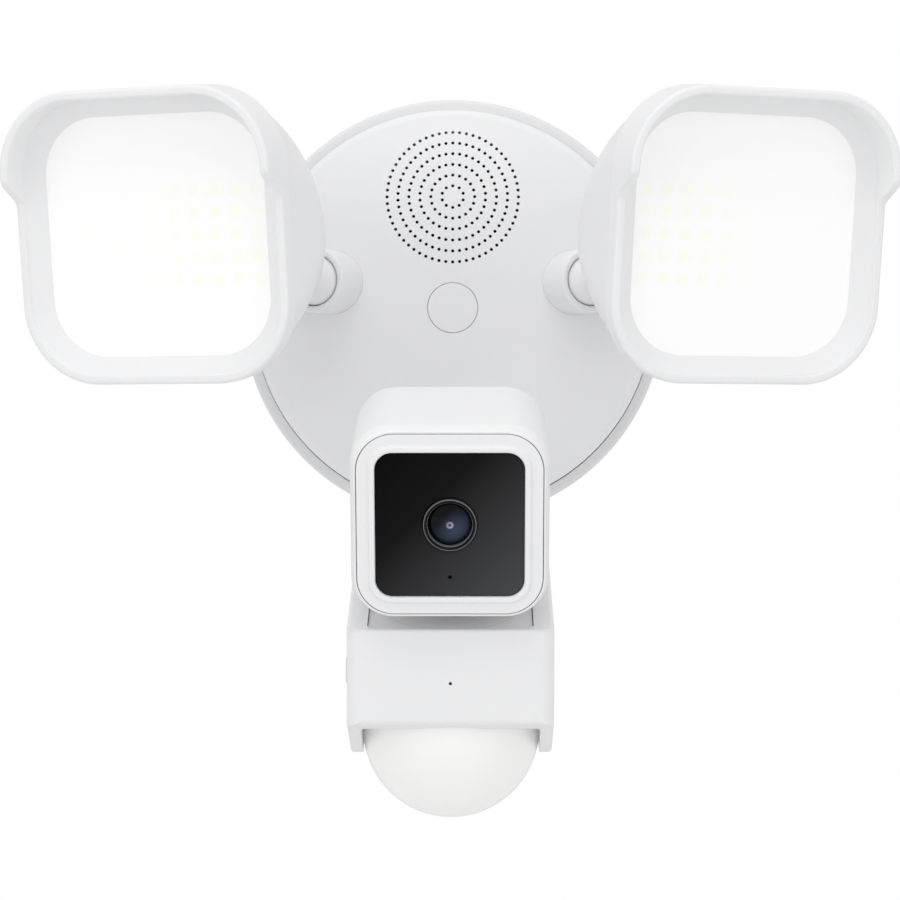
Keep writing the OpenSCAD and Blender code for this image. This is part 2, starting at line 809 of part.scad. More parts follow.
rear_gasket();
back_plate();
mounting_bracket();
center_screw();
wire_grommet();
front_cover();
cover_screws();
screw_cap();
speaker_frame();
speaker_cone();
main_board();
transformer();
capacitors();
terminal_block();
socket_screws();
left_socket();
left_friction_pad();
left_ball_stud();
left_stud_retainer();
left_housing();
left_bezel();
left_lens();
left_lens_gasket();
left_reflector();
left_led_board();
left_led_chips();
left_heat_sink();
right_socket();
right_friction_pad();
right_ball_stud();
right_stud_retainer();
right_housing();
right_bezel();
right_lens();
right_lens_gasket();
right_reflector();
right_led_board();
right_led_chips();
right_heat_sink();
pedestal_shell();
pedestal_arm();
pir_dome();
pir_ring();
pir_board();
pir_sensor();
accessory_port();
port_cover();
camera_foot();
swivel_disc();
hinge_pin();
camera_shell();
camera_bezel();
camera_window();
lens_ring();
lens_glass();
lens_barrel();
camera_board();
hinge_lug();
usb_inlet();
setup_button();
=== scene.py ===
# %% [markdown]
# # A floodlight with a security camera
#
# The real object is a wall light: a round base, two lamp heads on ball joints, and a
# small cube camera on a pedestal, with the dome of a motion sensor under it.
# Its working shape is already made in CAD, and this notebook gives it its looks.
# It could be modelled again from nothing, but then its joints would no longer line up.
# So the CAD model is loaded as a frame that never moves, and each new piece stands in
# the place of a CAD part and rides on the same body.

# %% Load the frame
from functools import partial
from math import atan2, cos, pi, radians, sin, sqrt, tan, tau

import bmesh
import bpy
import numpy as np
from mathutils import Euler, Matrix, Vector


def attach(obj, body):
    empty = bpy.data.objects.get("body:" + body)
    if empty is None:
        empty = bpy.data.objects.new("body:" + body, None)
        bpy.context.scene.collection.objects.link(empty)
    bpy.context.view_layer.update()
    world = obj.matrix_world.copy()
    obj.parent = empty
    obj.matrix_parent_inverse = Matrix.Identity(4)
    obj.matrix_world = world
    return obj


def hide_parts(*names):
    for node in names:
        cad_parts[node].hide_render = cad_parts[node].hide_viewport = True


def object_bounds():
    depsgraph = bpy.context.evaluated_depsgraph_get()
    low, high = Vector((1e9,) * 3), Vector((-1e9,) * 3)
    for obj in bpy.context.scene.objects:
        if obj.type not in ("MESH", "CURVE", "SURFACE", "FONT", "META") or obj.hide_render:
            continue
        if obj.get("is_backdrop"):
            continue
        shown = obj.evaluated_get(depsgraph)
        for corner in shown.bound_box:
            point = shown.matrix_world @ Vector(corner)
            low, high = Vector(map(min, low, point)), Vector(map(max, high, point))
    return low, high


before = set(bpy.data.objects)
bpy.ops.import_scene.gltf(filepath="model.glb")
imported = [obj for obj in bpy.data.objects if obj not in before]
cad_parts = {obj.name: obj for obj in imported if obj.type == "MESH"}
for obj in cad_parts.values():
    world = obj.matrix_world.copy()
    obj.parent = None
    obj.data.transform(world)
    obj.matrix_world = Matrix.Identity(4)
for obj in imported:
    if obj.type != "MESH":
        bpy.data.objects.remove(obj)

cad_low, cad_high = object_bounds()
print("CAD box in metres:", [round(high - low, 4) for low, high in zip(cad_low, cad_high)])

# %% [markdown]
# ## Where things are
#
# A lamp that is turned outward and tipped down is hard to draw in room coordinates.
# Each moving part could be drawn level and then have its object rotated, but the export
# needs every object at the origin. So a small set of matrices says where each part's own
# axes lie, points are written in millimetres along those axes, and a matrix carries the
# points themselves into the room.

# %% The frames of the parts
MM = 0.001


def shift(x, y, z):
    return Matrix.Translation((x, y, z))


def turn(x, y, z):
    return Euler((radians(x), radians(y), radians(z)), "XYZ").to_matrix().to_4x4()


LAMP_CENTRE, LAMP_TURN = (81.5, -105, 15), (98, 0, 20)
CAMERA_CENTRE, CAMERA_TURN = (0, -131, -61.9), (105, 0, 0)
BALL_CENTRE = Vector((40.106, -37.423, 7.8))

WALL = turn(90, 0, 0)                                    # +z leaves the wall
LAMP = shift(*LAMP_CENTRE) @ turn(*LAMP_TURN)            # +z is the way the lamp shines
SOCKET = shift(*BALL_CENTRE) @ turn(90, 0, 23)           # +z leaves the socket's mouth
STUD = LAMP @ shift(*(LAMP.inverted() @ BALL_CENTRE)) @ turn(-21.5, 19.7, 0)  # +z enters the lamp
CAMERA = shift(*CAMERA_CENTRE) @ turn(*CAMERA_TURN)      # +z is the way the camera looks
BUTTON = CAMERA @ shift(0, -26, -15) @ turn(90, 0, 0)    # +z leaves the camera's underside
TOP = shift(0, -115.1, -90.3) @ turn(18, 0, 0)           # the pedestal's sloping top
PORT = shift(-27.8, -98, -101.9) @ turn(90, 0, -90)      # +z leaves the pedestal's side
DOME = shift(0, -85.8, -119.5)                           # the middle of the sensor's dome
MIRROR = Matrix.Scale(-1, 4, (1, 0, 0))
print("The lamp shines along", [round(x, 3) for x in LAMP.to_3x3().col[2]])

# %% [markdown]
# ## How the meshes are made
#
# Nearly all of this object is moulded plastic, and moulded parts come in few kinds:
# turned ones, such as the base and the dome, and square ones with very round corners,
# such as the lamps and the camera. A turned part is a profile spun round an axis. The
# others are skins over a row of rounded squares. Both are written here as plain lists of
# points, because then every radius is under control. Edges are rounded in the profile
# itself, where a bevel could slip. What is left, the holes, is cut afterwards.

# %% Mesh objects


def new_object(name, data):
    """An object in the scene, at the origin."""
    thing = bpy.data.objects.new(name, data)
    bpy.context.scene.collection.objects.link(thing)
    return thing


def make(name, points, faces, place=Matrix()):
    """A closed mesh from points in millimetres along the axes of `place`."""
    mesh = bpy.data.meshes.new(name)
    mesh.from_pydata([(place @ Vector(p)) * MM for p in points], [], faces)
    work = bmesh.new()
    work.from_mesh(mesh)
    bmesh.ops.remove_doubles(work, verts=work.verts, dist=1e-7)
    bmesh.ops.recalc_face_normals(work, faces=work.faces)
    work.to_mesh(mesh)
    work.free()
    return new_object(name, mesh)


def bake(piece):
    """Turns what the modifiers show into the piece's own plain mesh."""
    shown = piece.evaluated_get(bpy.context.evaluated_depsgraph_get())
    mesh = bpy.data.meshes.new_from_object(shown)
    piece.modifiers.clear()
    piece.data = mesh
    return piece


def carve(piece, *tools, how="DIFFERENCE"):
    """Cuts each tool out of the piece, or adds it with how="UNION", and drops the tool."""
    for tool in tools:
        step = piece.modifiers.new("carve", "BOOLEAN")
        step.operation, step.solver, step.object = how, "MANIFOLD", tool
        bake(piece)
        bpy.data.objects.remove(tool)
    if not piece.data.polygons:
        raise ValueError(f"{piece.name} was cut away: one of its meshes isn't closed")
    return piece


def mirrored(piece, name):
    """The left-hand copy. Its faces are turned round with its points."""
    mesh = piece.data.copy()
    mesh.transform(MIRROR)
    mesh.flip_normals()
    return new_object(name, mesh)


# %% Turned shapes


def turned(profile, steps=96, closed=False):
    """Points and faces of a (radius, height) profile spun round the z axis."""
    points, rings = [], []
    for radius, height in profile:
        count = 1 if radius < 1e-6 else steps
        rings.append([len(points) + k for k in range(count)])
        points += [
            (radius * cos(tau * k / steps), radius * sin(tau * k / steps), height)
            for k in range(count)
        ]
    faces = []
    for one, two in zip(rings, rings[1:] + (rings[:1] if closed else [])):
        for k in range(steps):
            corners = [one[k % len(one)], one[(k + 1) % steps % len(one)],
                       two[(k + 1) % steps % len(two)], two[k % len(two)]]
            corners = list(dict.fromkeys(corners))
            if len(corners) > 2:
                faces.append(corners)
    return points, faces


def arc(x, y, radius, start, end, steps=8):
    """Points on a circle about (x, y), from one angle to another in degrees."""
    angles = [radians(start + (end - start) * k / steps) for k in range(steps + 1)]
    return [(x + radius * cos(a), y + radius * sin(a)) for a in angles]


def filleted(corners, steps=4):
    """A closed outline. A corner written (x, y, r) is rounded by r."""
    outline = []
    for i, corner in enumerate(corners):
        here = Vector(corner[:2])
        if len(corner) == 2:
            outline.append(tuple(here))
            continue
        last = (Vector(corners[i - 1][:2]) - here).normalized()
        following = (Vector(corners[(i + 1) % len(corners)][:2]) - here).normalized()
        radius, half = corner[2], last.angle(following) / 2
        centre = here + (last + following).normalized() * radius / sin(half)
        start = here + last * radius / tan(half) - centre
        end = here + following * radius / tan(half) - centre
        for k in range(steps + 1):
            outline.append(tuple(centre + start.lerp(end, k / steps).normalized() * radius))
    return outline


# %% Rounded squares and the skins over them


def rounded(width, radius, z, dx=0.0, dy=0.0, height=None, count=160):
    """Points evenly spaced round a rounded rectangle, from the middle of its right side."""
    flat_x, flat_y = width - 2 * radius, (height or width) - 2 * radius
    quarter = (flat_x + flat_y + pi * radius) / 2
    ring = []
    for k in range(count):
        number, step = divmod(k, count // 4)
        along = quarter * step / (count // 4)
        if number % 2:
            along = quarter - along
        bend = min(max(along - flat_y / 2, 0) / radius, pi / 2)
        x = flat_x / 2 + radius * cos(bend) - max(along - flat_y / 2 - pi * radius / 2, 0)
        y = min(along, flat_y / 2) + radius * sin(bend)
        ring.append((x * (1, -1, -1, 1)[number] + dx, y * (1, 1, -1, -1)[number] + dy, z))
    return ring


def skin(rings, around=False):
    """Points and faces over a row of rings. The ends are closed, or joined if `around`."""
    count, total = len(rings[0]), len(rings)
    faces = []
    for i in range(total if around else total - 1):
        for k in range(count):
            n, j = (k + 1) % count, (i + 1) % total
            faces.append((i * count + k, i * count + n, j * count + n, j * count + k))
    if not around:
        faces += [tuple(range(count)), tuple(range((total - 1) * count, total * count))]
    return [p for ring in rings for p in ring], faces


def eased(rings, steps):
    """Adds rings between the rings, on a curve that is smooth and never bulges past them."""
    rings = np.array(rings, float)
    gaps = np.linalg.norm(np.diff(rings.mean(axis=1), axis=0), axis=1)
    slopes = np.diff(rings, axis=0) / gaps[:, None, None]
    before, after = slopes[:-1], slopes[1:]
    total = np.where(before * after > 0, before + after, 1.0)
    inner = np.where(before * after > 0, 2 * before * after / total, 0.0)
    tangents = np.concatenate([slopes[:1], inner, slopes[-1:]])
    smooth = []
    for i, gap in enumerate(gaps):
        for k in range(steps):
            t = k / steps
            smooth.append(
                (2 * t**3 - 3 * t**2 + 1) * rings[i] + (t**3 - 2 * t**2 + t) * gap * tangents[i]
                + (3 * t**2 - 2 * t**3) * rings[i + 1] + (t**3 - t**2) * gap * tangents[i + 1]
            )
    return [[tuple(p) for p in ring] for ring in [*smooth, rings[-1]]]


def box(x, y, z, place=Matrix(), name="tool"):
    """A box between three pairs of limits, for cutting with."""
    points = [(a, b, c) for a in x for b in y for c in z]
    faces = [(0, 1, 3, 2), (4, 6, 7, 5), (0, 4, 5, 1), (2, 3, 7, 6), (0, 2, 6, 4), (1, 5, 7, 3)]
    return make(name, points, faces, place)


def rod(radius, low, high, place=Matrix(), steps=48, name="tool"):
    """A round rod, for cutting with."""
    return make(name, *turned([(0, low), (radius, low), (radius, high), (0, high)], steps), place)


print("A ring has", len(rounded(80, 22, 0)), "points")

# %% [markdown]
# ## Finishes
#
# The real plastic is white with a very fine sparked grain, and it looks alike on the
# base, the lamps and the camera. One noise texture could be copied into every material.
# A shader group is better: it is built once, and each material gives it its own colour,
# grain size and roughness. It hands back only what changes over the surface, and the
# Principled shader stays in the material.

# %% A small language for shader nodes


def add(tree, kind, settings=None, **inputs):
    """Adds a node. An input is either a value or another node's output."""
    node = tree.nodes.new(kind)
    for key, value in (settings or {}).items():
        setattr(node, key, value)
    for key, value in inputs.items():
        socket = node.inputs[int(key[1:]) if key[0] == "_" else key.replace("_", " ")]
        if isinstance(value, bpy.types.NodeSocket):
            tree.links.new(value, socket)
        else:
            socket.default_value = value
    return node


def calc(tree, operation, *values):
    """A Math node's result."""
    inputs = {f"_{i}": value for i, value in enumerate(values)}
    return add(tree, "ShaderNodeMath", {"operation": operation}, **inputs).outputs[0]


def mixed(tree, factor, one, two, how="MIX"):
    """Two colours mixed by a factor, or combined as `how` says."""
    node = add(tree, "ShaderNodeMix", {"data_type": "RGBA", "blend_type": how},
               _0=factor, _6=one, _7=two)
    return node.outputs[2]


def paint(tree, colour, *sockets):
    """Feeds a colour to sockets of the material's own shader, or to Base Color."""
    for socket in sockets or ("Base Color",):
        tree.links.new(colour, tree.nodes["Principled BSDF"].inputs[socket])


def group(name, kind, inputs, outputs):
    """A node group with named sockets, and its input and output nodes."""
    tree = bpy.data.node_groups.new(name, kind)
    for label, socket_type in outputs:
        tree.interface.new_socket(label, in_out="OUTPUT", socket_type=socket_type)
    for label, socket_type, value in inputs:
        socket = tree.interface.new_socket(label, in_out="INPUT", socket_type=socket_type)
        if value is not None:
            socket.default_value = value
    return tree, tree.nodes.new("NodeGroupInput").outputs, tree.nodes.new("NodeGroupOutput").inputs


COLOUR, NUMBER = "NodeSocketColor", "NodeSocketFloat"

# %% The grain of moulded plastic
moulded, given, result = group(
    "moulded_grain", "ShaderNodeTree",
    [("Colour", COLOUR, (0.8, 0.8, 0.8, 1)), ("Shade", COLOUR, (0.7, 0.7, 0.7, 1)),
     ("Grain Size", NUMBER, 0.0004), ("Roughness", NUMBER, 0.4), ("Spread", NUMBER, 0.1)],
    [("Colour", COLOUR), ("Roughness", NUMBER), ("Height", NUMBER)],
)
where = add(moulded, "ShaderNodeTexCoord").outputs["Object"]
fine = add(moulded, "ShaderNodeTexNoise", Vector=where, Detail=3.0,
           Scale=calc(moulded, "DIVIDE", 1.0, given["Grain Size"])).outputs[0]
flow = add(moulded, "ShaderNodeTexNoise", Vector=where, Scale=24.0, Detail=4.0).outputs[0]
patch = calc(moulded, "MULTIPLY", flow, calc(moulded, "MULTIPLY_ADD", fine, 0.6, 0.4))
moulded.links.new(mixed(moulded, patch, given["Colour"], given["Shade"]), result["Colour"])
moulded.links.new(calc(moulded, "MULTIPLY_ADD", calc(moulded, "SUBTRACT", flow, 0.5),
                       given["Spread"], given["Roughness"]), result["Roughness"])
moulded.links.new(fine, result["Height"])
print("Grain group:", [n.bl_idname for n in moulded.nodes])

# %% The lines of brushed or drawn metal
brushed, given, result = group(
    "metal_lines", "ShaderNodeTree",
    [("Colour", COLOUR, (0.6, 0.6, 0.6, 1)), ("Shade", COLOUR, (0.4, 0.4, 0.4, 1)),
     ("Line Size", NUMBER, 0.0002), ("Roughness", NUMBER, 0.3)],
    [("Colour", COLOUR), ("Roughness", NUMBER), ("Height", NUMBER)],
)
where = add(brushed, "ShaderNodeTexCoord").outputs["Object"]
stretched = add(brushed, "ShaderNodeMapping", Vector=where, Scale=(0.04, 1, 1)).outputs[0]
lines = add(brushed, "ShaderNodeTexNoise", Vector=stretched, Detail=2.0,
            Scale=calc(brushed, "DIVIDE", 1.0, given["Line Size"])).outputs[0]
spots = add(brushed, "ShaderNodeTexVoronoi", Vector=where, Scale=260.0).outputs["Distance"]
worn = calc(brushed, "MULTIPLY", lines, spots)
brushed.links.new(mixed(brushed, worn, given["Colour"], given["Shade"]), result["Colour"])
rough = calc(brushed, "MULTIPLY_ADD", lines, 0.15, given["Roughness"])
brushed.links.new(rough, result["Roughness"])
brushed.links.new(lines, result["Height"])

# %% Materials from a group


def finish_of(name, source, bump=0.0, constants=None, **inputs):
    """A material that takes its colour, roughness and bump from a shader group."""
    material = bpy.data.materials.new(name)
    material.use_nodes = True
    tree = material.node_tree
    shader = tree.nodes["Principled BSDF"]
    surface = add(tree, "ShaderNodeGroup", {"node_tree": source})
    for key, value in inputs.items():
        surface.inputs[key.replace("_", " ")].default_value = value
    tree.links.new(surface.outputs["Colour"], shader.inputs["Base Color"])
    tree.links.new(surface.outputs["Roughness"], shader.inputs["Roughness"])
    if bump:
        relief = add(tree, "ShaderNodeBump", Height=surface.outputs["Height"],
                     Strength=bump, Distance=0.00002)
        tree.links.new(relief.outputs[0], shader.inputs["Normal"])
    for key, value in (constants or {}).items():
        shader.inputs[key].default_value = value
    return material


def tint(red, green, blue):
    return (red, green, blue, 1.0)


FULL, NONE = tint(1, 1, 1), tint(0, 0, 0)
white = finish_of("white_shell", moulded, 0.35, {"Specular IOR Level": 0.45},
                  Colour=tint(0.86, 0.862, 0.868), Shade=tint(0.825, 0.828, 0.836),
                  Grain_Size=0.00035, Roughness=0.46, Spread=0.1)
pale_grey = finish_of("base_plate_white", moulded, 0.35, {"Specular IOR Level": 0.4},
                      Colour=tint(0.80, 0.803, 0.81), Shade=tint(0.76, 0.763, 0.772),
                      Grain_Size=0.00045, Roughness=0.5, Spread=0.12)
rubber = finish_of("port_rubber", moulded, 0.5, {"Specular IOR Level": 0.25},
                   Colour=tint(0.78, 0.78, 0.785), Shade=tint(0.72, 0.72, 0.73),
                   Grain_Size=0.0002, Roughness=0.65, Spread=0.15)
black_rubber = finish_of("grommet_rubber", moulded, 0.5, {"Specular IOR Level": 0.3},
                         Colour=tint(0.02, 0.02, 0.021), Shade=tint(0.045, 0.045, 0.045),
                         Grain_Size=0.0003, Roughness=0.6, Spread=0.2)
dark = finish_of("satin_black", moulded, 0.3, {},
                 Colour=tint(0.016, 0.016, 0.017), Shade=tint(0.03, 0.03, 0.032),
                 Grain_Size=0.0003, Roughness=0.42, Spread=0.15)
foam = finish_of("closed_cell_foam", moulded, 1.0, {"Specular IOR Level": 0.2},
                 Colour=tint(0.03, 0.03, 0.032), Shade=tint(0.1, 0.1, 0.1),
                 Grain_Size=0.0009, Roughness=0.85, Spread=0.2)
tape = finish_of("winding_tape", moulded, 0.4, {},
                 Colour=tint(0.72, 0.5, 0.08), Shade=tint(0.5, 0.3, 0.05),
                 Grain_Size=0.0008, Roughness=0.35, Spread=0.2)
green_block = finish_of("terminal_green", moulded, 0.3, {},
                        Colour=tint(0.03, 0.22, 0.07), Shade=tint(0.02, 0.16, 0.05),
                        Grain_Size=0.0004, Roughness=0.4, Spread=0.1)
blue_sleeve = finish_of("capacitor_sleeve", moulded, 0.2, {},
                        Colour=tint(0.015, 0.02, 0.05), Shade=tint(0.03, 0.03, 0.07),
                        Grain_Size=0.0006, Roughness=0.3, Spread=0.1)
phosphor = finish_of("led_phosphor", moulded, 0.3, {},
                     Colour=tint(0.85, 0.68, 0.12), Shade=tint(0.75, 0.55, 0.08),
                     Grain_Size=0.0003, Roughness=0.4, Spread=0.1)
solder_mask = finish_of("solder_mask", moulded, 0.4, {"Coat Weight": 0.4},
                        Colour=tint(0.02, 0.14, 0.05), Shade=tint(0.03, 0.24, 0.09),
                        Grain_Size=0.0022, Roughness=0.35, Spread=0.2)
white_mask = finish_of("white_solder_mask", moulded, 0.3, {},
                       Colour=tint(0.84, 0.84, 0.82), Shade=tint(0.76, 0.76, 0.74),
                       Grain_Size=0.0022, Roughness=0.4, Spread=0.1)
steel = finish_of("zinc_plated_steel", brushed, 0.5, {"Metallic": 1.0},
                  Colour=tint(0.66, 0.66, 0.66), Shade=tint(0.46, 0.47, 0.5),
                  Line_Size=0.0004, Roughness=0.28)
aluminium = finish_of("cast_aluminium", brushed, 0.6, {"Metallic": 1.0},
                      Colour=tint(0.74, 0.74, 0.75), Shade=tint(0.55, 0.55, 0.57),
                      Line_Size=0.0012, Roughness=0.42)
print(len(bpy.data.materials), "materials so far")

# %% [markdown]
# ## Window, glass, diffusers and the dome
#
# Five finishes can't come from the grain group alone. The camera's window is a polished
# black panel, and a painted reflection makes it a shade lighter toward one corner. The
# lens is nearly black glass with a blue coating, whose sheen is painted into its colour
# together with a small bright pupil as a painted highlight and painted shade toward its
# rim and to one side. The ring round it has two fine edges with painted highlights. The
# lamps are frosted panels that glow, with the warm LED chips just showing through near
# the inner side. The sensor's dome is milky, with a faint painted glow and painted shade
# toward its outline. A picture could be wrapped over each, but patterns that are worked
# out from the place on the piece stay sharp and need no files. A Mapping node carries the
# room's coordinates back into the lamp or the camera.

# %% Local coordinates inside a material


def local_axes(tree, centre, turned_by, flip=1):
    """The place on the piece, in metres along the axes of a lamp or the camera."""
    where = add(tree, "ShaderNodeTexCoord").outputs["Object"]
    mapping = add(tree, "ShaderNodeMapping", {"vector_type": "TEXTURE"}, Vector=where,
                  Location=[v * MM for v in centre], Rotation=[radians(a) for a in turned_by],
                  Scale=(flip, 1, 1))
    return mapping.outputs[0]


def parts_of(tree, vector):
    return add(tree, "ShaderNodeSeparateXYZ", Vector=vector).outputs


def ramp(tree, factor, stops):
    """A colour ramp through (position, grey or colour) stops."""
    node = add(tree, "ShaderNodeValToRGB", Fac=factor)
    while len(node.color_ramp.elements) < len(stops):
        node.color_ramp.elements.new(0.5)
    for element, (position, colour) in zip(node.color_ramp.elements, stops):
        element.position, element.color = position, colour
    return node.outputs[0]


def off_axis(tree, side):
    """Distance from the camera's own axis."""
    squares = [calc(tree, "POWER", side[i], 2.0) for i in (0, 1)]
    return calc(tree, "SQRT", calc(tree, "ADD", *squares))


# %% The black window
window = finish_of("polished_black", moulded, 0.0, {"Specular IOR Level": 0.06},
                   Grain_Size=0.01, Roughness=0.12, Spread=0.04)
tree = window.node_tree
side = parts_of(tree, local_axes(tree, CAMERA_CENTRE, CAMERA_TURN))
# Painted reflection: the window's colour is painted lighter toward one corner.
corner = calc(tree, "SUBTRACT", side[0], side[1])
paint(tree, ramp(tree, calc(tree, "MULTIPLY_ADD", corner, 14.0, 0.5),
                 [(0.0, tint(0.0012, 0.0012, 0.0013)), (0.35, tint(0.005, 0.005, 0.0055)),
                  (1.0, tint(0.06, 0.061, 0.064))]))

# %% The coated lens, with its highlight, sheen and shade painted into its colour
LENS_R, COAT_R, TRIM_W = 5.8, 5.6, 1.2
lens = finish_of("coated_lens", moulded, 0.0, {"Specular IOR Level": 0.15},
                 Grain_Size=0.01, Roughness=0.05, Spread=0.02)
tree = lens.node_tree
side = parts_of(tree, local_axes(tree, CAMERA_CENTRE, CAMERA_TURN))
across = off_axis(tree, side)
# Painted highlight: the bright pupil ring, with painted shade darkening toward the lens's rim.
painted_pupil_glint = ramp(tree, calc(tree, "MULTIPLY", across, 1 / (LENS_R * MM)),
            [(0.0, tint(0.12, 0.09, 0.16)), (0.05, tint(0.05, 0.04, 0.08)),
             (0.09, tint(0.72, 0.62, 0.85)), (0.14, tint(0.5, 0.42, 0.62)),
             (0.19, tint(0.03, 0.025, 0.05)), (0.5, tint(0.02, 0.024, 0.04)),
             (0.86, tint(0.008, 0.01, 0.016)), (1.0, tint(0.001, 0.001, 0.001))])
# Painted reflection and shade: the lens's colour is darkened toward one side.
reflection_slope = calc(tree, "MULTIPLY_ADD", calc(tree, "SUBTRACT", side[0], side[1]), 110.0, 0.4)
painted_reflection_shade = mixed(tree, reflection_slope, tint(0.04, 0.04, 0.06), FULL)
# Painted sheen of the blue coating, strongest in the middle of the lens.
inner = calc(tree, "SUBTRACT", 1.0, calc(tree, "MULTIPLY", across, 1 / (COAT_R * MM)))
painted_coating_sheen = mixed(tree, calc(tree, "MULTIPLY", inner, 0.6), painted_pupil_glint, tint(0.05, 0.1, 0.17), "ADD")
paint(tree, mixed(tree, 1.0, painted_coating_sheen, painted_reflection_shade, "MULTIPLY"))

# %% The trim ring, with painted highlights on its two fine edges
trim = finish_of("lens_trim", moulded, 0.0, {"Specular IOR Level": 0.2}, Grain_Size=0.01,
                 Roughness=0.3, Spread=0.04)
tree = trim.node_tree
side = parts_of(tree, local_axes(tree, CAMERA_CENTRE, CAMERA_TURN))
across = off_axis(tree, side)
# Painted highlights: two thin grey lines on the black ring stand for light caught by its edges.
black, painted_edge_highlight = tint(0.004, 0.004, 0.0045), tint(0.17, 0.17, 0.18)
paint(tree, ramp(tree, calc(tree, "MULTIPLY_ADD", across, 1 / (TRIM_W * MM), -LENS_R / TRIM_W),
                 [(0.0, black), (0.05, painted_edge_highlight), (0.14, painted_edge_highlight), (0.22, black),
                  (0.72, black), (0.8, painted_edge_highlight), (0.92, painted_edge_highlight), (1.0, black)]))

# %% The glowing diffusers
LAMP_GLOW = 0.26
CHIP_PITCH, CHIP_HALF, CHIP_ROWS = 6, 0.26, 15  # mm, share of the pitch, mm to each side


def diffuser_of(name, flip):
    """A frosted lamp panel. Its LED chips show as faint warm squares near the inner side."""
    material = finish_of(name, moulded, 0.2, {"Emission Strength": LAMP_GLOW},
                         Grain_Size=0.0006, Roughness=0.5, Spread=0.05)
    tree = material.node_tree
    centre = (LAMP_CENTRE[0] * flip, *LAMP_CENTRE[1:])
    around = (LAMP_TURN[0], 0, LAMP_TURN[2] * flip)
    side = parts_of(tree, local_axes(tree, centre, around, flip))
    chips = []
    for value in (side[0], side[1]):
        cell = calc(tree, "FRACT", calc(tree, "MULTIPLY_ADD", value, 1 / (CHIP_PITCH * MM), 0.5))
        off_middle = calc(tree, "ABSOLUTE", calc(tree, "SUBTRACT", cell, 0.5))
        chips.append(calc(tree, "LESS_THAN", off_middle, CHIP_HALF))
    fade_x = ramp(tree, calc(tree, "MULTIPLY_ADD", side[0], 18.0, 0.62),
                  [(0.0, NONE), (0.1, FULL), (0.42, FULL), (0.66, NONE)])
    in_rows = calc(tree, "LESS_THAN", calc(tree, "ABSOLUTE", side[1]), CHIP_ROWS * MM)
    mask = calc(tree, "MULTIPLY", calc(tree, "MULTIPLY", *chips),
                calc(tree, "MULTIPLY", fade_x, in_rows))
    warm = mixed(tree, mask, tint(0.80, 0.80, 0.795), tint(0.80, 0.795, 0.72))
    paint(tree, warm, "Base Color", "Emission Color")
    return material


diffusers = {"right": diffuser_of("frosted_panel_right", 1),
             "left": diffuser_of("frosted_panel_left", -1)}

# %% The milky dome, with a painted glow and painted shade toward its outline
# The dome is no lamp: its emission is a faint painted glow.
DOME_PAINTED_GLOW, DOME_EDGE_PAINTED_SHADE = 0.1, 0.35
milky = finish_of("milky_dome", moulded, 0.15,
                  {"Subsurface Weight": 0.25, "Subsurface Radius": (0.004, 0.004, 0.0035),
                   "Subsurface Scale": 1.0, "Specular IOR Level": 0.5,
                   "Emission Color": tint(1.0, 1.0, 0.985), "Emission Strength": DOME_PAINTED_GLOW},
                  Colour=tint(0.87, 0.868, 0.855), Shade=tint(0.84, 0.838, 0.82),
                  Grain_Size=0.002, Roughness=0.24, Spread=0.06)
tree = milky.node_tree
# Painted shade: the colour darkens where the surface turns away, toward the dome's outline.
facing = add(tree, "ShaderNodeLayerWeight", Blend=0.5).outputs["Facing"]
painted_outline_shade = ramp(tree, facing, [(0.0, FULL), (0.7, FULL), (0.86, tint(0.8, 0.8, 0.8)),
                            (1.0, tint(0.55, 0.55, 0.55))])
milk = tree.nodes["Principled BSDF"].inputs["Base Color"].links[0].from_socket
paint(tree, mixed(tree, DOME_EDGE_PAINTED_SHADE, milk, painted_outline_shade, "MULTIPLY"))
print([m.name for m in bpy.data.materials if m.node_tree.nodes.get("Color Ramp")])

# %% [markdown]
# ## Dressing a piece
#
# Every finished piece needs the same few things: one material, soft shading that stays
# crisp at real edges, a body to ride on, and the CAD parts that it stands for. Shading
# could be left to Shade Smooth, but next to a cut hole that bends the light on flat faces.
# The Weighted Normal modifier lets the large faces decide.

# %% Dress


def dress(piece, material, body, slot, *nodes, sharp=34):
    """Finishes a piece that rides on a body and stands for one or more CAD nodes."""
    mesh = piece.data
    work = bmesh.new()
    work.from_mesh(mesh)
    bmesh.ops.remove_doubles(work, verts=work.verts, dist=2e-6)
    bmesh.ops.dissolve_degenerate(work, edges=work.edges, dist=1e-6)
    many = [face for face in work.faces if len(face.verts) > 4]
    bmesh.ops.triangulate(work, faces=many)
    loose = sum(len(edge.link_faces) != 2 for edge in work.edges)
    work.to_mesh(mesh)
    work.free()
    mesh.materials.clear()
    mesh.materials.append(material)
    mesh.polygons.foreach_set("material_index", [0] * len(mesh.polygons))
    mesh.polygons.foreach_set("use_smooth", [True] * len(mesh.polygons))
    mesh.set_sharp_from_angle(angle=radians(sharp))
    shading = piece.modifiers.new("even shading", "WEIGHTED_NORMAL")
    shading.keep_sharp = True
    bake(piece)
    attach(piece, body)
    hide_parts(*nodes)
    print(f"{piece.name}: {len(piece.data.polygons)} faces, {loose} open edges, rides on {body}")
    return piece


def soften(node, body, material, slot, width=0.25):
    """A copy of a CAD part with its doubles merged and its hard edges broken by `width`."""
    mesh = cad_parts[node].data.copy()
    piece = new_object("soft_" + node, mesh)
    work = bmesh.new()
    work.from_mesh(mesh)
    bmesh.ops.remove_doubles(work, verts=work.verts, dist=1e-6)
    bmesh.ops.dissolve_limit(work, angle_limit=radians(0.5), verts=work.verts, edges=work.edges)
    work.to_mesh(mesh)
    work.free()
    edge = piece.modifiers.new("broken edges", "BEVEL")
    edge.width, edge.segments, edge.limit_method = width * MM, 2, "ANGLE"
    edge.angle_limit = radians(40)
    bake(piece)
    return dress(piece, material, body, slot, node)


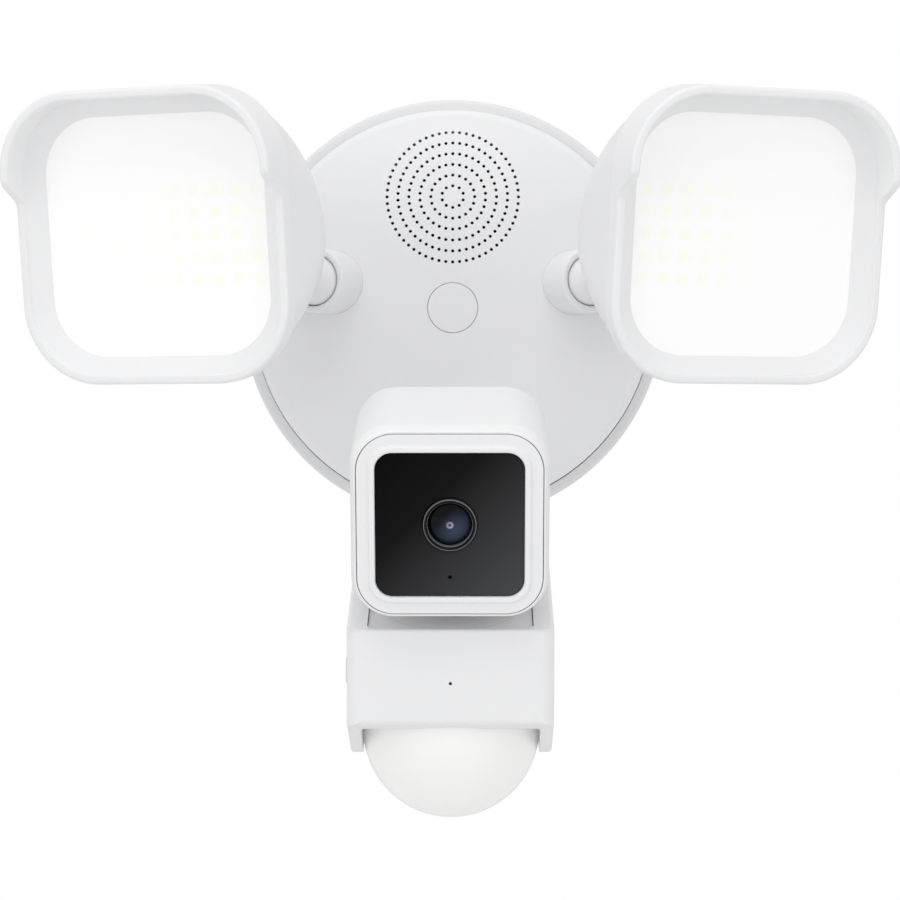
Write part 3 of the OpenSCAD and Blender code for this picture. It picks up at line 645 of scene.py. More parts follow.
# %% [markdown]
# ## The base: cover, plate and cap
#
# The base is a thick round shell that hides the wiring. Its face is a very shallow dome
# with a rounded shoulder, and it sits inside the skirt of the back plate with a fine gap
# round it. A cylinder with a scaled sphere on top would have a visible crease, so the
# whole wall, outside and inside, is one profile that is spun once.

# %% The cover's profile
COVER_R, SHOULDER_R, SHOULDER_T, DOME_TOP, DOME_R = 60.4, 3.4, 22.1, 33.0, 220.35
WALL_T, WEB_T, COVER_INNER_R = 2.5, 13.5, 57.9


def dome_t(radius, under=0.0):
    """Height of the cover's dome above the wall, at a distance from its middle."""
    return DOME_TOP - DOME_R + sqrt((DOME_R - under) ** 2 - radius**2)


CAP_R, PLUG_R, SLEEVE_R, SEAT_T, HAIR_GAP = 7.45, 6.5, 9.4, 31.0, 0.03
shoulder = arc(COVER_R - SHOULDER_R, SHOULDER_T, SHOULDER_R, 0, 73, 12)
face = [(r, dome_t(r)) for r in np.linspace(56.4, CAP_R + 0.35, 26)]
under = [(r, dome_t(r, WALL_T)) for r in np.linspace(SLEEVE_R, COVER_INNER_R, 12)]
cover_profile = (
    [(COVER_R, WEB_T + 0.3)] + shoulder + face
    + [(CAP_R + 0.14, dome_t(CAP_R) - 0.1), (CAP_R + 0.07, dome_t(CAP_R) - 0.4),
       (CAP_R + 0.07, SEAT_T - HAIR_GAP), (PLUG_R + 0.2, SEAT_T - HAIR_GAP),
       (PLUG_R + 0.2, WEB_T), (SLEEVE_R, WEB_T)]
    + under + [(COVER_INNER_R, WEB_T), (COVER_R - 0.3, WEB_T)]
)
cover = make("front_cover_shell", *turned(cover_profile, 192, closed=True), WALL)
print("Cover profile:", len(cover_profile), "points")

# %% [markdown]
# ### The grille
#
# The siren's sound leaves through six rings of small holes, ten in the first ring and
# ten more in each one after. Six loops in code would do, but Geometry Nodes keep the
# pattern alive: the number of rings, the pitch and the size of a hole stay named inputs.
# The tree works the ring out from each point's index, sets a short rod there, and the
# rods are then cut out of the cover all at once.

# %% A Geometry Nodes tree for rings of holes


def end_tree(tree, copies, material, result):
    """Every tree ends alike: its copies become one real mesh with one material."""
    real = add(tree, "GeometryNodeRealizeInstances", Geometry=copies.outputs[0])
    painted = add(tree, "GeometryNodeSetMaterial", Geometry=real.outputs[0], Material=material)
    tree.links.new(painted.outputs[0], result["Geometry"])


rings_tree, given, result = group(
    "rings_of_holes", "GeometryNodeTree",
    [("Rings", "NodeSocketInt", 6), ("First Ring", "NodeSocketInt", 10), ("Pitch", NUMBER, 0.00328),
     ("Hole Radius", NUMBER, 0.0005), ("Depth", NUMBER, 0.01), ("Centre", "NodeSocketVector", None),
     ("Material", "NodeSocketMaterial", None)],
    [("Geometry", "NodeSocketGeometry")],
)
ring_calc = partial(calc, rings_tree)
half_first = ring_calc("MULTIPLY", given["First Ring"], 0.5)
total = ring_calc("MULTIPLY", ring_calc("MULTIPLY", half_first, given["Rings"]),
                  ring_calc("ADD", given["Rings"], 1.0))
index = add(rings_tree, "GeometryNodeInputIndex").outputs[0]
share = ring_calc("DIVIDE", ring_calc("ADD", index, 0.5), half_first)
root = ring_calc("SQRT", ring_calc("MULTIPLY_ADD", share, 4.0, 1.0))
ring_number = ring_calc("CEIL", ring_calc("MULTIPLY_ADD", root, 0.5, -0.5))
earlier = ring_calc("MULTIPLY", ring_calc("MULTIPLY", half_first, ring_number),
                    ring_calc("SUBTRACT", ring_number, 1.0))
in_ring = ring_calc("MULTIPLY", given["First Ring"], ring_number)
part_turn = ring_calc("DIVIDE", ring_calc("SUBTRACT", index, earlier), in_ring)
angle = ring_calc("MULTIPLY_ADD", part_turn, tau, pi / 2)
reach = ring_calc("MULTIPLY", ring_number, given["Pitch"])
spot = add(rings_tree, "ShaderNodeCombineXYZ",
           X=ring_calc("MULTIPLY", reach, ring_calc("COSINE", angle)),
           Z=ring_calc("MULTIPLY", reach, ring_calc("SINE", angle)))
placed = add(rings_tree, "ShaderNodeVectorMath", {"operation": "ADD"}, _0=spot.outputs[0],
             _1=given["Centre"])
points = add(rings_tree, "GeometryNodePoints", Count=total, Position=placed.outputs[0])
hole = add(rings_tree, "GeometryNodeMeshCylinder", Vertices=12, Radius=given["Hole Radius"],
           Depth=given["Depth"])
on_points = add(rings_tree, "GeometryNodeInstanceOnPoints", Points=points.outputs[0],
                Instance=hole.outputs["Mesh"], Rotation=(pi / 2, 0, 0))
end_tree(rings_tree, on_points, given["Material"], result)

# %% Run a tree as a modifier and keep its mesh


def grow(name, tree, start=None, **values):
    """An object whose mesh is what the tree makes from its named inputs."""
    piece = new_object(name, start or bpy.data.meshes.new(name))
    nodes = piece.modifiers.new("grow", "NODES")
    nodes.node_group = tree
    for socket in tree.interface.items_tree:
        key = socket.name.replace(" ", "_")
        if socket.in_out == "INPUT" and key in values:
            nodes[socket.identifier] = values[key]
    return bake(piece)


SPEAKER_Z, GRILLE_T = 33.4, 30.0
holes = grow("grille_holes", rings_tree, Rings=6, First_Ring=10, Pitch=3.28 * MM,
             Hole_Radius=0.5 * MM, Depth=12 * MM, Material=dark,
             Centre=(0.0, -GRILLE_T * MM, SPEAKER_Z * MM))
print("Grille:", len(holes.data.polygons) // 14, "holes")

# %% Cut the holes and dress the cover
ARM_HOLE_Z, SOCKET_R = -38, 9.75
arm_hole = rod(4, 10, 40, WALL @ shift(0, ARM_HOLE_Z, 0))
socket_holes = [rod(SOCKET_R + 0.04, -22, 12, side @ SOCKET, 96) for side in (Matrix(), MIRROR)]
carve(cover, holes, arm_hole, *socket_holes)
dress(cover, white, "base", "white_plastic", "front_cover", sharp=40)

# %% [markdown]
# ### The back plate
#
# Seen from the front, the back plate is only the outer ring round the cover, a little
# greyer than it. From behind it is a deep tray that holds the gasket, the bracket and the
# screws. It too is one spun profile, and its holes are cut with rods.

# %% The plate
SCREW_SEAT_T, CENTRE_HOLE_R = 11, 2.6
plate_profile = filleted([
    (CENTRE_HOLE_R, WEB_T), (60.7, WEB_T), (60.7, 19, 0.3), (64, 19, 1.3), (64, 2, 0.5),
    (55, 2, 0.4), (55, 4, 0.4), (61, 4), (61, SCREW_SEAT_T), (CENTRE_HOLE_R, SCREW_SEAT_T)])
back = make("back_plate_tray", *turned(plate_profile, 192, closed=True), WALL)
GROMMET, BOSS, SCREW_X, SOCKET_Z = (-14, -13), (36, 38), (25.5, 41.5), 7.8
boss_places = [(x * BOSS[0], z * BOSS[1]) for x in (-1, 1) for z in (-1, 1)]
socket_places = [(side * x, SOCKET_Z) for side in (-1, 1) for x in SCREW_X]
drilled = [(*GROMMET, 5.0), *((*p, 1.7) for p in boss_places), *((*p, 1.5) for p in socket_places)]
carve(back, *[rod(r, 5, 16, WALL @ shift(x, z, 0), 32) for x, z, r in drilled])
dress(back, pale_grey, "base", "grey_plastic", "back_plate")

# %% [markdown]
# ### Cap and screws
#
# A small round cap closes the hole over the fixing screw, so flush that only its seam
# shows. Behind the plate, eight screws hold the cover and the lamp sockets. They are
# alike, so one is modelled, with its cross recess, and a tree sets a copy of it on every
# vertex of a mesh that holds nothing but the places.

# %% The cap
cap_face = [(r, dome_t(r) - 0.02) for r in np.linspace(CAP_R - 0.3, 0, 10)]
cap_profile = ([(0, 23), (PLUG_R - 0.3, 23), (PLUG_R, 23.3), (PLUG_R, SEAT_T), (CAP_R, SEAT_T),
                (CAP_R, dome_t(CAP_R) - 0.3), (CAP_R - 0.1, dome_t(CAP_R) - 0.09)] + cap_face)
dress(make("fixing_screw_cap", *turned(cap_profile, 96), WALL), white, "cap", "white_plastic",
      "screw_cap")

# %% Screws on points
screws_tree, given, result = group(
    "screws_on_points", "GeometryNodeTree",
    [("Geometry", "NodeSocketGeometry", None), ("Screw", "NodeSocketObject", None),
     ("Size", NUMBER, 1.0), ("Material", "NodeSocketMaterial", None)],
    [("Geometry", "NodeSocketGeometry")],
)
info = add(screws_tree, "GeometryNodeObjectInfo", Object=given["Screw"])
on_points = add(screws_tree, "GeometryNodeInstanceOnPoints", Points=given["Geometry"],
                Instance=info.outputs["Geometry"], Scale=given["Size"])
end_tree(screws_tree, on_points, given["Material"], result)


def screws(name, head_r, head_h, shank_r, length, places, node):
    """Screws driven from behind: a head under the web and a shank into the plastic."""
    profile = [(0, -head_h), (head_r * 0.55, -head_h), (head_r * 0.85, -head_h * 0.82),
               (head_r, -head_h * 0.45), (head_r, 0), (shank_r, 0), (shank_r, length - shank_r),
               (0, length)]
    screw = make("one_screw", *turned(profile, 20), WALL)
    long, short = head_r * 0.52, head_r * 0.15
    deep = (-head_h - 1, -head_h * 0.45)
    carve(screw, box((-long, long), (-short, short), deep, WALL),
          box((-short, short), (-long, long), deep, WALL))
    mesh = bpy.data.meshes.new(name)
    mesh.from_pydata([(x * MM, -SCREW_SEAT_T * MM, z * MM) for x, z in places], [], [])
    piece = grow(name, screws_tree, mesh, Screw=screw, Size=1.0, Material=steel)
    bpy.data.objects.remove(screw)
    return dress(piece, steel, "base", "steel", node)


screws("cover_fixing_screws", 3.2, 2.0, 1.45, 9.0, boss_places, "cover_screws")
screws("socket_fixing_screws", 2.6, 1.6, 1.2, 7.4, socket_places, "socket_screws")

# %% [markdown]
# ## Ball joints
#
# Each lamp hangs on a ball that is clamped in a short socket. The socket is a tube whose
# mouth is smaller than the ball, with a rounded lip that catches the light, and the ball
# runs into a neck through a small fillet. Both are turned, and the socket gets a round
# foot that is joined to it.

# %% Sockets and ball studs
BALL_R, NECK_R, CAVITY_R, SEAT_R, MOUTH, LIP_R = 7.6, 3.2, 7.95, 9.4, 2.8, 0.8
FOOT_X, FOOT_R, FOOT_TOP = 33.5, 12, 22
cup = arc(0, 0, CAVITY_R, 16, -30, 12)
seat = arc(0, 0, SEAT_R, -25.2, -90, 12)
socket_profile = (
    [(0, -19.2), (SOCKET_R, -19.2)] + arc(SOCKET_R - LIP_R, MOUTH - LIP_R, LIP_R, 0, 90, 6)
    + [(8.35, MOUTH), (8.05, MOUTH - 0.15), (7.7, MOUTH - 0.55)] + cup + seat[:-1] + [(0, -SEAT_R)]
)
right_socket = make("lamp_socket_right", *turned(socket_profile, 96), SOCKET)
foot_profile = [(0, WEB_T), (FOOT_R, WEB_T), (FOOT_R, 21.4), (11.4, FOOT_TOP), (0, FOOT_TOP)]
foot = make("foot", *turned(foot_profile, 64), WALL @ shift(FOOT_X, SOCKET_Z, 0))
inside = make("inside", *turned([(0, -SEAT_R), *arc(0, 0, SEAT_R, -89, -25.2, 12)[1:],
                                 *cup[::-1], (7.6, 3), (0, 3)], 96), SOCKET)
carve(foot, inside)
carve(right_socket, foot, how="UNION")
carve(right_socket, box((-60, 60), (-60, 60), (-30, WEB_T), WALL))

FILLET = 0.8
FLANGE_R, FLANGE_LOW, FLANGE_HIGH = 6, 13.5, 15.9
rise = sqrt((BALL_R + FILLET) ** 2 - (NECK_R + FILLET) ** 2)
touch = atan2(rise, NECK_R + FILLET) * 360 / tau
stud_profile = (
    [(0, -BALL_R)] + arc(0, 0, BALL_R, -84, touch, 30)
    + arc(NECK_R + FILLET, rise, FILLET, 180 + touch, 180, 6)[1:]
    + [(NECK_R, FLANGE_LOW), (FLANGE_R, FLANGE_LOW), (FLANGE_R, FLANGE_HIGH), (0, FLANGE_HIGH)]
)
right_stud = make("ball_stud_right", *turned(stud_profile, 72), STUD)
for side, socket, stud in (("left", mirrored(right_socket, "lamp_socket_left"),
                            mirrored(right_stud, "ball_stud_left")),
                           ("right", right_socket, right_stud)):
    dress(socket, white, "base", "white_plastic", side + "_socket")
    dress(stud, white, side + "_stud", "white_plastic", side + "_ball_stud")

# %% [markdown]
# ## Lamp housings
#
# A lamp's back is a soft shell: square and wide at the rim, rounder and smaller toward
# the back, and drawn to one side where it meets the ball. A cube under a Subdivision
# Surface could give something like it, but its size would be hard to hold. Here eight
# sections of known width and corner radius, and the round tail, are joined by a monotone
# curve, which flows through all of them and never swells past the widest.

# %% The housing
LAMP_SECTIONS = [  # depth, width, corner radius, shift in x and y
    (5, 79.6, 22.2, 0, 0), (18, 76.2, 26, 0, 0), (28, 72.6, 28.5, -0.5, -0.2),
    (36, 68, 30, -1.2, -0.5), (44, 60.4, 29.6, -2.8, -2), (50, 50.6, 25, -4.8, -4),
    (56, 39, 19.2, -7.4, -7), (62, 27.5, 13.6, -10, -10.6)]
LAMP_WALL, TAIL_R, TAIL_START = 2.2, 8.5, 10.5


def section(depth, width, radius, dx=0, dy=0, wall=0.0):
    return rounded(width - 2 * wall, radius - wall, -depth, dx, dy)


to_lamp = LAMP.inverted() @ STUD


def tail(radius, height, count=160):
    """A circle square to the stud, in the lamp's own axes."""
    angles = [tau * k / count for k in range(count)]
    return [tuple(to_lamp @ Vector((radius * cos(a), radius * sin(a), height))) for a in angles]


outside = eased([section(*s) for s in LAMP_SECTIONS] + [tail(TAIL_R, TAIL_START + 1.2)], 7)
outside += [tail(TAIL_R - 0.1, TAIL_START + 0.6), tail(TAIL_R - 0.45, TAIL_START + 0.15),
            tail(TAIL_R - 1.0, TAIL_START)]
hollow = eased([section(*s, wall=LAMP_WALL) for s in LAMP_SECTIONS[:7]], 7)
hollow = [[(x, y, z + 2) for x, y, z in hollow[0]]] + hollow
right_housing = make("lamp_housing_right", *skin(outside), LAMP)
carve(right_housing, make("hollow", *skin(hollow), LAMP),
      rod(NECK_R + 0.05, TAIL_START - 4, 14.5, STUD),
      rod(FLANGE_R + 0.4, FLANGE_LOW - 0.05, 25.5, STUD))

# %% [markdown]
# ## Bezels with their visors
#
# The front of each lamp is a deep frame. Its rim is rounded inside and out, a slope runs
# from the rim down to the diffuser, and over the top the rim grows forward into a visor,
# which comes up out of the sides in a smooth S. A bent strip could be added on top, but
# the seam would show. Instead one profile runs round the whole frame, and the points at
# its front are lifted by an amount that depends on how high up the lamp they are.

# %% The bezel
LAMP_W, LAMP_R, RIM, LENS_DEPTH, VISOR = 80, 22, 2.6, 5, 8
VISOR_FROM, VISOR_TO = 9, 17


def visor_lift(y):
    """How far forward the rim stands at a height above the lamp's middle."""
    t = min(max((y - VISOR_FROM) / (VISOR_TO - VISOR_FROM), 0), 1)
    return VISOR * (1 - cos(pi * t)) / 2


rim = [(0, -LENS_DEPTH, 0), (0, -2, 0)]
rim += [(1.0 - x, y, 1) for x, y in arc(0, -1.0, 1.0, 0, 90, 5)]
rim += [(RIM - 0.7 + x, y, 1) for x, y in arc(0, -0.7, 0.7, 90, 0, 4)]
rim_rings = [(LAMP_W - 2 * d, LAMP_R - d, z, lift) for d, z, lift in rim]
rim_rings += [(74.8, 19.4, -0.75, 0), (74.3, 19.2, -1.05, 0), (67, 16.6, -4.35, 0),
              (65.9, 16.2, -4.75, 0), (65.5, 16, -LENS_DEPTH, 0)]
frame_rings = []
for width, radius, z, lift in rim_rings:
    flat = rounded(width, radius, z, count=400)
    frame_rings.append([(x, y, z + lift * visor_lift(y)) for x, y, z in flat])
right_bezel = make("lamp_bezel_right", *skin(frame_rings, around=True), LAMP)
print("Visor rises", VISOR, "mm between heights", VISOR_FROM, "and", VISOR_TO)

# %% [markdown]
# ## Diffuser panels
#
# The panel is a frosted sheet with round corners, crowned by less than a millimetre, so
# that the light on it changes slowly. It is a skin over shrinking rounded squares. The
# two panels are told apart by their material, because the LED pattern has to be turned
# with each lamp.

# %% The panels, and both lamps dressed
PANEL_W, PANEL_R, CROWN, CROWN_FROM = 68.5, 17.5, 0.8, 0.952
panel_rings = [rounded(PANEL_W, PANEL_R, -LENS_DEPTH - 2),
               rounded(PANEL_W, PANEL_R, -LENS_DEPTH - 0.3),
               rounded(PANEL_W - 0.6, PANEL_R - 0.3, -LENS_DEPTH)]
for share in (CROWN_FROM, 0.93, 0.87, 0.77, 0.63, 0.46, 0.28, 0.12, 0.03):
    depth = -LENS_DEPTH + CROWN * (1 - (share / CROWN_FROM) ** 2)
    panel_rings.append(rounded(PANEL_W * share, PANEL_R * share, depth))
right_panel = make("lamp_panel_right", *skin(panel_rings), LAMP)
pairs = {"left": [mirrored(right_housing, "lamp_housing_left"),
                  mirrored(right_bezel, "lamp_bezel_left"),
                  mirrored(right_panel, "lamp_panel_left")],
         "right": [right_housing, right_bezel, right_panel]}
for side, (housing, bezel, panel) in pairs.items():
    dress(housing, white, side + "_lamp", "white_plastic", side + "_housing")
    dress(bezel, white, side + "_lamp", "white_plastic", side + "_bezel")
    dress(panel, diffusers[side], side + "_lamp", "diffuser", side + "_lens")

# %% [markdown]
# ## The pedestal
#
# The pedestal is a block with a sloping top, a front with two well-rounded upright edges,
# and an arm that narrows toward the base. Box modelling suits it: eight corners on each
# side, then bevels. The upright front edges need a bevel of five millimetres and the
# others much less, so each edge gets a bevel weight, and one Bevel modifier reads them.
# The pocket for the dome, the tray for the camera's foot and the port are cut afterwards.

# %% The block
PEDESTAL = [  # distance from the wall, height
    (115.1, -90.3), (112.9, -115.4), (87.4, -126.2), (62.3, -109.53),
    (60, -108), (22, -50), (22, -28), (62.3, -73.14)]
HALF_W, ARM_HALF_W, ARM_FROM, ARM_TO = 27.8, 22.0, 20.0, 62.3
FRONT_EDGE, SOFT_EDGE, CRISP_EDGE, PED_WALL = 5.0, 1.2, 0.6, 2.4


def half_width(t):
    return ARM_HALF_W + (HALF_W - ARM_HALF_W) * min((t - ARM_FROM) / (ARM_TO - ARM_FROM), 1)


def inward(outline, d):
    """A clockwise outline moved in by d."""
    moved = []
    for i in range(len(outline)):
        ends = (outline[i], outline[i - 1], outline[(i + 1) % len(outline)])
        here, last, following = (Vector(p) for p in ends)
        m, n = ((b - a).normalized() for a, b in ((last, here), (here, following)))
        m, n = Vector((m.y, -m.x)), Vector((n.y, -n.x))
        moved.append(tuple(here + (m + n) * d / (1 + m.dot(n))))
    return moved


def block(name, outline, wall):
    """The solid inside a side outline, as wide as the pedestal less its wall."""
    count = len(outline)
    points = [(s * (half_width(t) - wall), -t, z) for s in (1, -1) for t, z in outline]
    faces = [(0, 1, 2, 3, 7), (3, 4, 5, 6, 7), (8, 9, 10, 11, 15), (11, 12, 13, 14, 15)]
    faces += [(i, (i + 1) % count, (i + 1) % count + count, i + count) for i in range(count)]
    return make(name, points, faces)


pedestal = block("pedestal_block", PEDESTAL, 0)
weights = pedestal.data.attributes.new("bevel_weight_edge", "FLOAT", "EDGE")
for edge in pedestal.data.edges:
    ends = {v % 8 for v in edge.vertices}
    across = len(ends) == 1
    if ends == {0, 1} and not across:
        weights.data[edge.index].value = 1.0
    elif ends == {3, 7} or ends == {3}:
        weights.data[edge.index].value = 0.0
    elif across and ends == {0}:
        weights.data[edge.index].value = CRISP_EDGE / FRONT_EDGE
    else:
        weights.data[edge.index].value = SOFT_EDGE / FRONT_EDGE
rounding = pedestal.modifiers.new("rounding", "BEVEL")
rounding.width, rounding.segments, rounding.limit_method = FRONT_EDGE * MM, 6, "WEIGHT"
rounding.use_clamp_overlap = False
bake(pedestal)
print("Pedestal:", len(pedestal.data.polygons), "faces after rounding")

# %% Hollow it and cut its openings
RECESS_W, RECESS_LEN, RECESS_D, RECESS_START = 44.5, 41.5, 5, 1
recess_place = TOP @ shift(0, RECESS_START + RECESS_LEN / 2, 0)


def tray(grown, low, high):
    ring = [rounded(RECESS_W + 2 * grown, 1.6, z, height=RECESS_LEN + 2 * grown, count=64)
            for z in (low, high)]
    return make("tray", *skin(ring), recess_place)


cavity = carve(block("cavity", inward(PEDESTAL, PED_WALL), PED_WALL), tray(2, -RECESS_D - 2, 12),
               box((-30, 30), (-120, -60), (-130, -112.5)))
APRON_W, APRON_LEN, APRON_TOP = 48.5, 50, -117.2
apron = make("apron", *skin([rounded(APRON_W, 4, z, height=APRON_LEN, count=96)
                             for z in (-130, APRON_TOP)]), shift(0, -85.4, 0))
DOME_OUT, DOME_WALL, DOME_CUT, POCKET_R = 24.4, 1.2, 12, 24.6
pocket_profile = [(0, -POCKET_R), *arc(0, 0, POCKET_R, -88, 88, 60), (0, POCKET_R)]
pocket = make("pocket", *turned(pocket_profile, 128), DOME)
base_face = [(r, dome_t(r)) for r in np.linspace(64, 0, 24)]
base_side = make("base_side", *turned([(0, -5), (64, -5), *base_face], 160), WALL)
port_hole = make("port_hole", *skin([rounded(15.4, 2, z, height=7.4, count=48)
                                     for z in (-0.8, 3)]), PORT)
port_slot = box((-6.7, 6.7), (-2.9, 2.9), (-5, 1), PORT)
MIC = shift(0, -113.9, -104.6) @ turn(85, 0, 0)
mic_profile = [(0, -6), (0.4, -6), (0.4, -0.4), (0.75, 1.2), (0, 1.2)]
mic_hole = make("mic_hole", *turned(mic_profile, 24), MIC)
carve(pedestal, cavity, apron, tray(0, -RECESS_D, 12), pocket, base_side, port_hole, port_slot,
      mic_hole)
dress(pedestal, white, "base", "white_plastic", "pedestal_shell", "pedestal_arm", sharp=38)

# %% [markdown]
# ## Sensor dome and port cover
#
# The dome is a thin milky shell. Inside it a real sensor has rings of tiny lenses, which
# show only as faint ripples, so the inner wall of the profile gets a shallow wave while
# the outside stays smooth. The port's rubber cover is a small plate with soft edges.

# %% The dome
RIPPLE, RIPPLE_STEPS, FACETS = 0.12, 8, 120
inner_r = DOME_OUT - DOME_WALL
inner_end, outer_end = (atan2(DOME_CUT, sqrt(r * r - DOME_CUT**2)) * 360 / tau
                        for r in (inner_r, DOME_OUT))
outer_wall = arc(0, 0, DOME_OUT, -89, outer_end, 60)
inner_wall = []
for k in range(FACETS + 1):
    a = radians(inner_end + (-89 - inner_end) * k / FACETS)
    ripple = inner_r - RIPPLE * abs(sin(pi * k / RIPPLE_STEPS))
    inner_wall.append((ripple * cos(a), ripple * sin(a)))
inner_wall[0] = (sqrt(inner_r**2 - DOME_CUT**2), DOME_CUT)
dome_profile = [(0, -DOME_OUT), *outer_wall, *inner_wall, (0, -inner_r)]
dome = make("sensor_dome", *turned(dome_profile, 128), DOME)
dress(dome, milky, "base", "dome", "pir_dome", sharp=50)

# %% The port cover
port_sections = [(15, 1.9, -0.7, 7), (15, 1.9, 0.15, 7), (14.8, 1.8, 0.4, 6.8),
                 (14.3, 1.6, 0.5, 6.3)]
port_rings = [rounded(w, r, z, height=h, count=64) for w, r, z, h in port_sections]
port_cover = make("port_rubber_cover", *skin(port_rings), PORT)
carve(port_cover, rod(1.6, 0.25, 2, PORT @ shift(9.0, 0, 0), 24))
dress(port_cover, rubber, "flap", "rubber_white", "port_cover")

# %% [markdown]
# ## Foot, swivel and hinge
#
# These parts sit in the shadow under the camera. Their CAD shapes are right, and all they
# miss is the small break that every moulded edge has. A CAD mesh is loose triangles, so a
# copy is merged into one skin first, its flat faces are joined, and then it is bevelled.
# The bracket and the cable grommet, behind the base, are done in the same way.

# %% Softened copies
soften("camera_foot", "base", white, "white_plastic", 0.3)
soften("swivel_disc", "swivel", white, "white_plastic")
soften("hinge_lug", "camera", white, "white_plastic")
soften("mounting_bracket", "base", steel, "steel", 0.3)
soften("wire_grommet", "base", black_rubber, "rubber_black", 0.4)

# %% [markdown]
# ## The camera
#
# The camera is a cube with very round corners. From the front it shows a fine seam, then
# a flat frame, a raised lip and the black window. The shell is a skin over rounded
# squares that close in at both ends. The frame is again one profile taken all the way
# round, with a small radius on each step, since those radii draw the bright lines.

# %% The shell
CAMERA_SECTIONS = [  # depth, width, corner radius
    (0.2, 49.6, 10.2), (0.8, 50.3, 10.5), (2.4, 51.2, 10.8), (5, 52, 11), (44, 52, 11),
    (48, 50.4, 10.4), (50.6, 47, 9.4), (52, 42.5, 8)]
CAMERA_INSIDE = [(-1, 45.4, 8.6), (4, 48, 9), (44, 48, 9), (48, 45.5, 8.4), (50, 42, 7.5)]
camera = make("camera_cube", *skin(eased([section(*s) for s in CAMERA_SECTIONS], 6)), CAMERA)
seat = make("seat", *skin([rounded(48.95, 10, -1.9), rounded(48.95, 10, 1)]), CAMERA)
carve(camera, seat, make("inside", *skin(eased([section(*s) for s in CAMERA_INSIDE], 4)), CAMERA),
      box((-4.7, 4.7), (-28.5, -23.5), (-45.1, -38.9), CAMERA),
      rod(2.35, -8, 8, BUTTON),
      box((-4.6, 4.6), (-15.8, -12.2), (-56, -48), CAMERA))
dress(camera, white, "camera", "white_plastic", "camera_shell")

# %% The frame with its lip
lip = [(45, 8.4, -4), (45, 8.4, -1.85), (48.5, 9.8, -1.85), (48.5, 9.8, -0.2), (48.35, 9.7, -0.05),
       (48.0, 9.6, 0), (43.1, 6.5, 0), (42.4, 6.1, 0.12), (42.1, 6.0, 0.4), (42.0, 5.95, 0.62),
       (41.5, 5.7, 0.8), (39.9, 4.9, 0.8), (39.25, 4.7, 0.66), (38.95, 4.6, 0.3),
       (38.9, 4.6, -2.3), (35.7, 3.5, -2.3), (35.7, 3.5, -4)]
camera_frame = make("camera_front_frame", *skin(
    [rounded(w, r, z, count=240) for w, r, z in lip], around=True), CAMERA)
dress(camera_frame, white, "camera", "white_plastic", "camera_bezel", sharp=60)

# %% Window, lens ring and lens
WINDOW_W = 38.7
glass_plate = make("camera_black_window", *skin(
    [rounded(WINDOW_W, 4.5, -2.3), rounded(WINDOW_W, 4.5, -0.3),
     rounded(WINDOW_W - 0.2, 4.4, -0.08), rounded(WINDOW_W - 0.6, 4.2, 0)]), CAMERA)
well_profile = [(0, -4), (7, -4), (7, -0.5), (8.1, 0.0), (8.1, 1), (0, 1)]
lens_well = make("well", *turned(well_profile, 96), CAMERA)
carve(glass_plate, lens_well,
      make("mic", *turned([(0, -1.6), (0.5, -1.6), (0.5, -0.2), (0.7, 0.5), (0, 0.5)], 24),
           CAMERA @ shift(0, -14.2, 0)),
      rod(0.45, -0.25, 0.5, CAMERA @ shift(0, 11.9, 0), 20))
dress(glass_plate, window, "camera", "window_plastic", "camera_window")
ring_profile = filleted([(6.95, -3), (6.95, 0.35, 0.2), (6.45, 0.35, 0.12), (6.2, 0.0),
                         (6.0, 0.12, 0.05), (5.85, -0.5), (5.85, -3)])
dress(make("lens_trim_ring", *turned(ring_profile, 96, closed=True), CAMERA), trim, "camera",
      "dark_plastic", "lens_ring")
glass_profile = [(0, -2.6), (LENS_R, -2.6), (LENS_R, -1.4)]
glass_profile += [(r, -12.2 + sqrt(12.3**2 - r * r)) for r in np.linspace(LENS_R - 0.02, 0, 14)]
dress(make("camera_lens", *turned(glass_profile, 96), CAMERA), lens, "camera", "lens_coated",
      "lens_glass")

# %% The button under the camera
button_profile = [(0, -3.2), (3.1, -3.2), (3.1, -2.1), (2.2, -2.1), (2.2, 0.2), (2.1, 0.4),
                  (1.8, 0.5), (1.5, 0.42), (0, 0.34)]
dress(make("setup_push_button", *turned(button_profile, 48), BUTTON), pale_grey, "button",
      "grey_plastic", "setup_button")

# %% [markdown]
# ## Parts that stay as CAD
#
# The gasket, the pins and everything inside keep their CAD meshes, because their shapes
# are already right and most can't be seen. They still get real finishes: a tree in a
# material costs nothing, and a plain grey part would look unfinished in a cutaway.

# %% Finishes for the carried parts
CARRIED = {
    foam: ["rear_gasket", "left_lens_gasket", "right_lens_gasket"],
    steel: ["center_screw", "hinge_pin", "accessory_port", "pir_sensor", "usb_inlet",
            "left_stud_retainer", "right_stud_retainer"],
    dark: ["speaker_frame", "speaker_cone", "left_friction_pad", "right_friction_pad",
           "lens_barrel"],
    solder_mask: ["main_board", "pir_board", "camera_board"],
    tape: ["transformer"],
    blue_sleeve: ["capacitors"],
    green_block: ["terminal_block"],
    pale_grey: ["pir_ring"],
    white: ["left_reflector", "right_reflector"],
    white_mask: ["left_led_board", "right_led_board"],
    phosphor: ["left_led_chips", "right_led_chips"],
    aluminium: ["left_heat_sink", "right_heat_sink"],
}
for material, names in CARRIED.items():
    for name in names:
        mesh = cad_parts[name].data
        mesh.materials.clear()
        mesh.materials.append(material)
carried = sum(CARRIED.values(), [])
waiting = [n for n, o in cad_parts.items() if not o.hide_render and n not in carried]
print("CAD parts with no finish:", waiting)

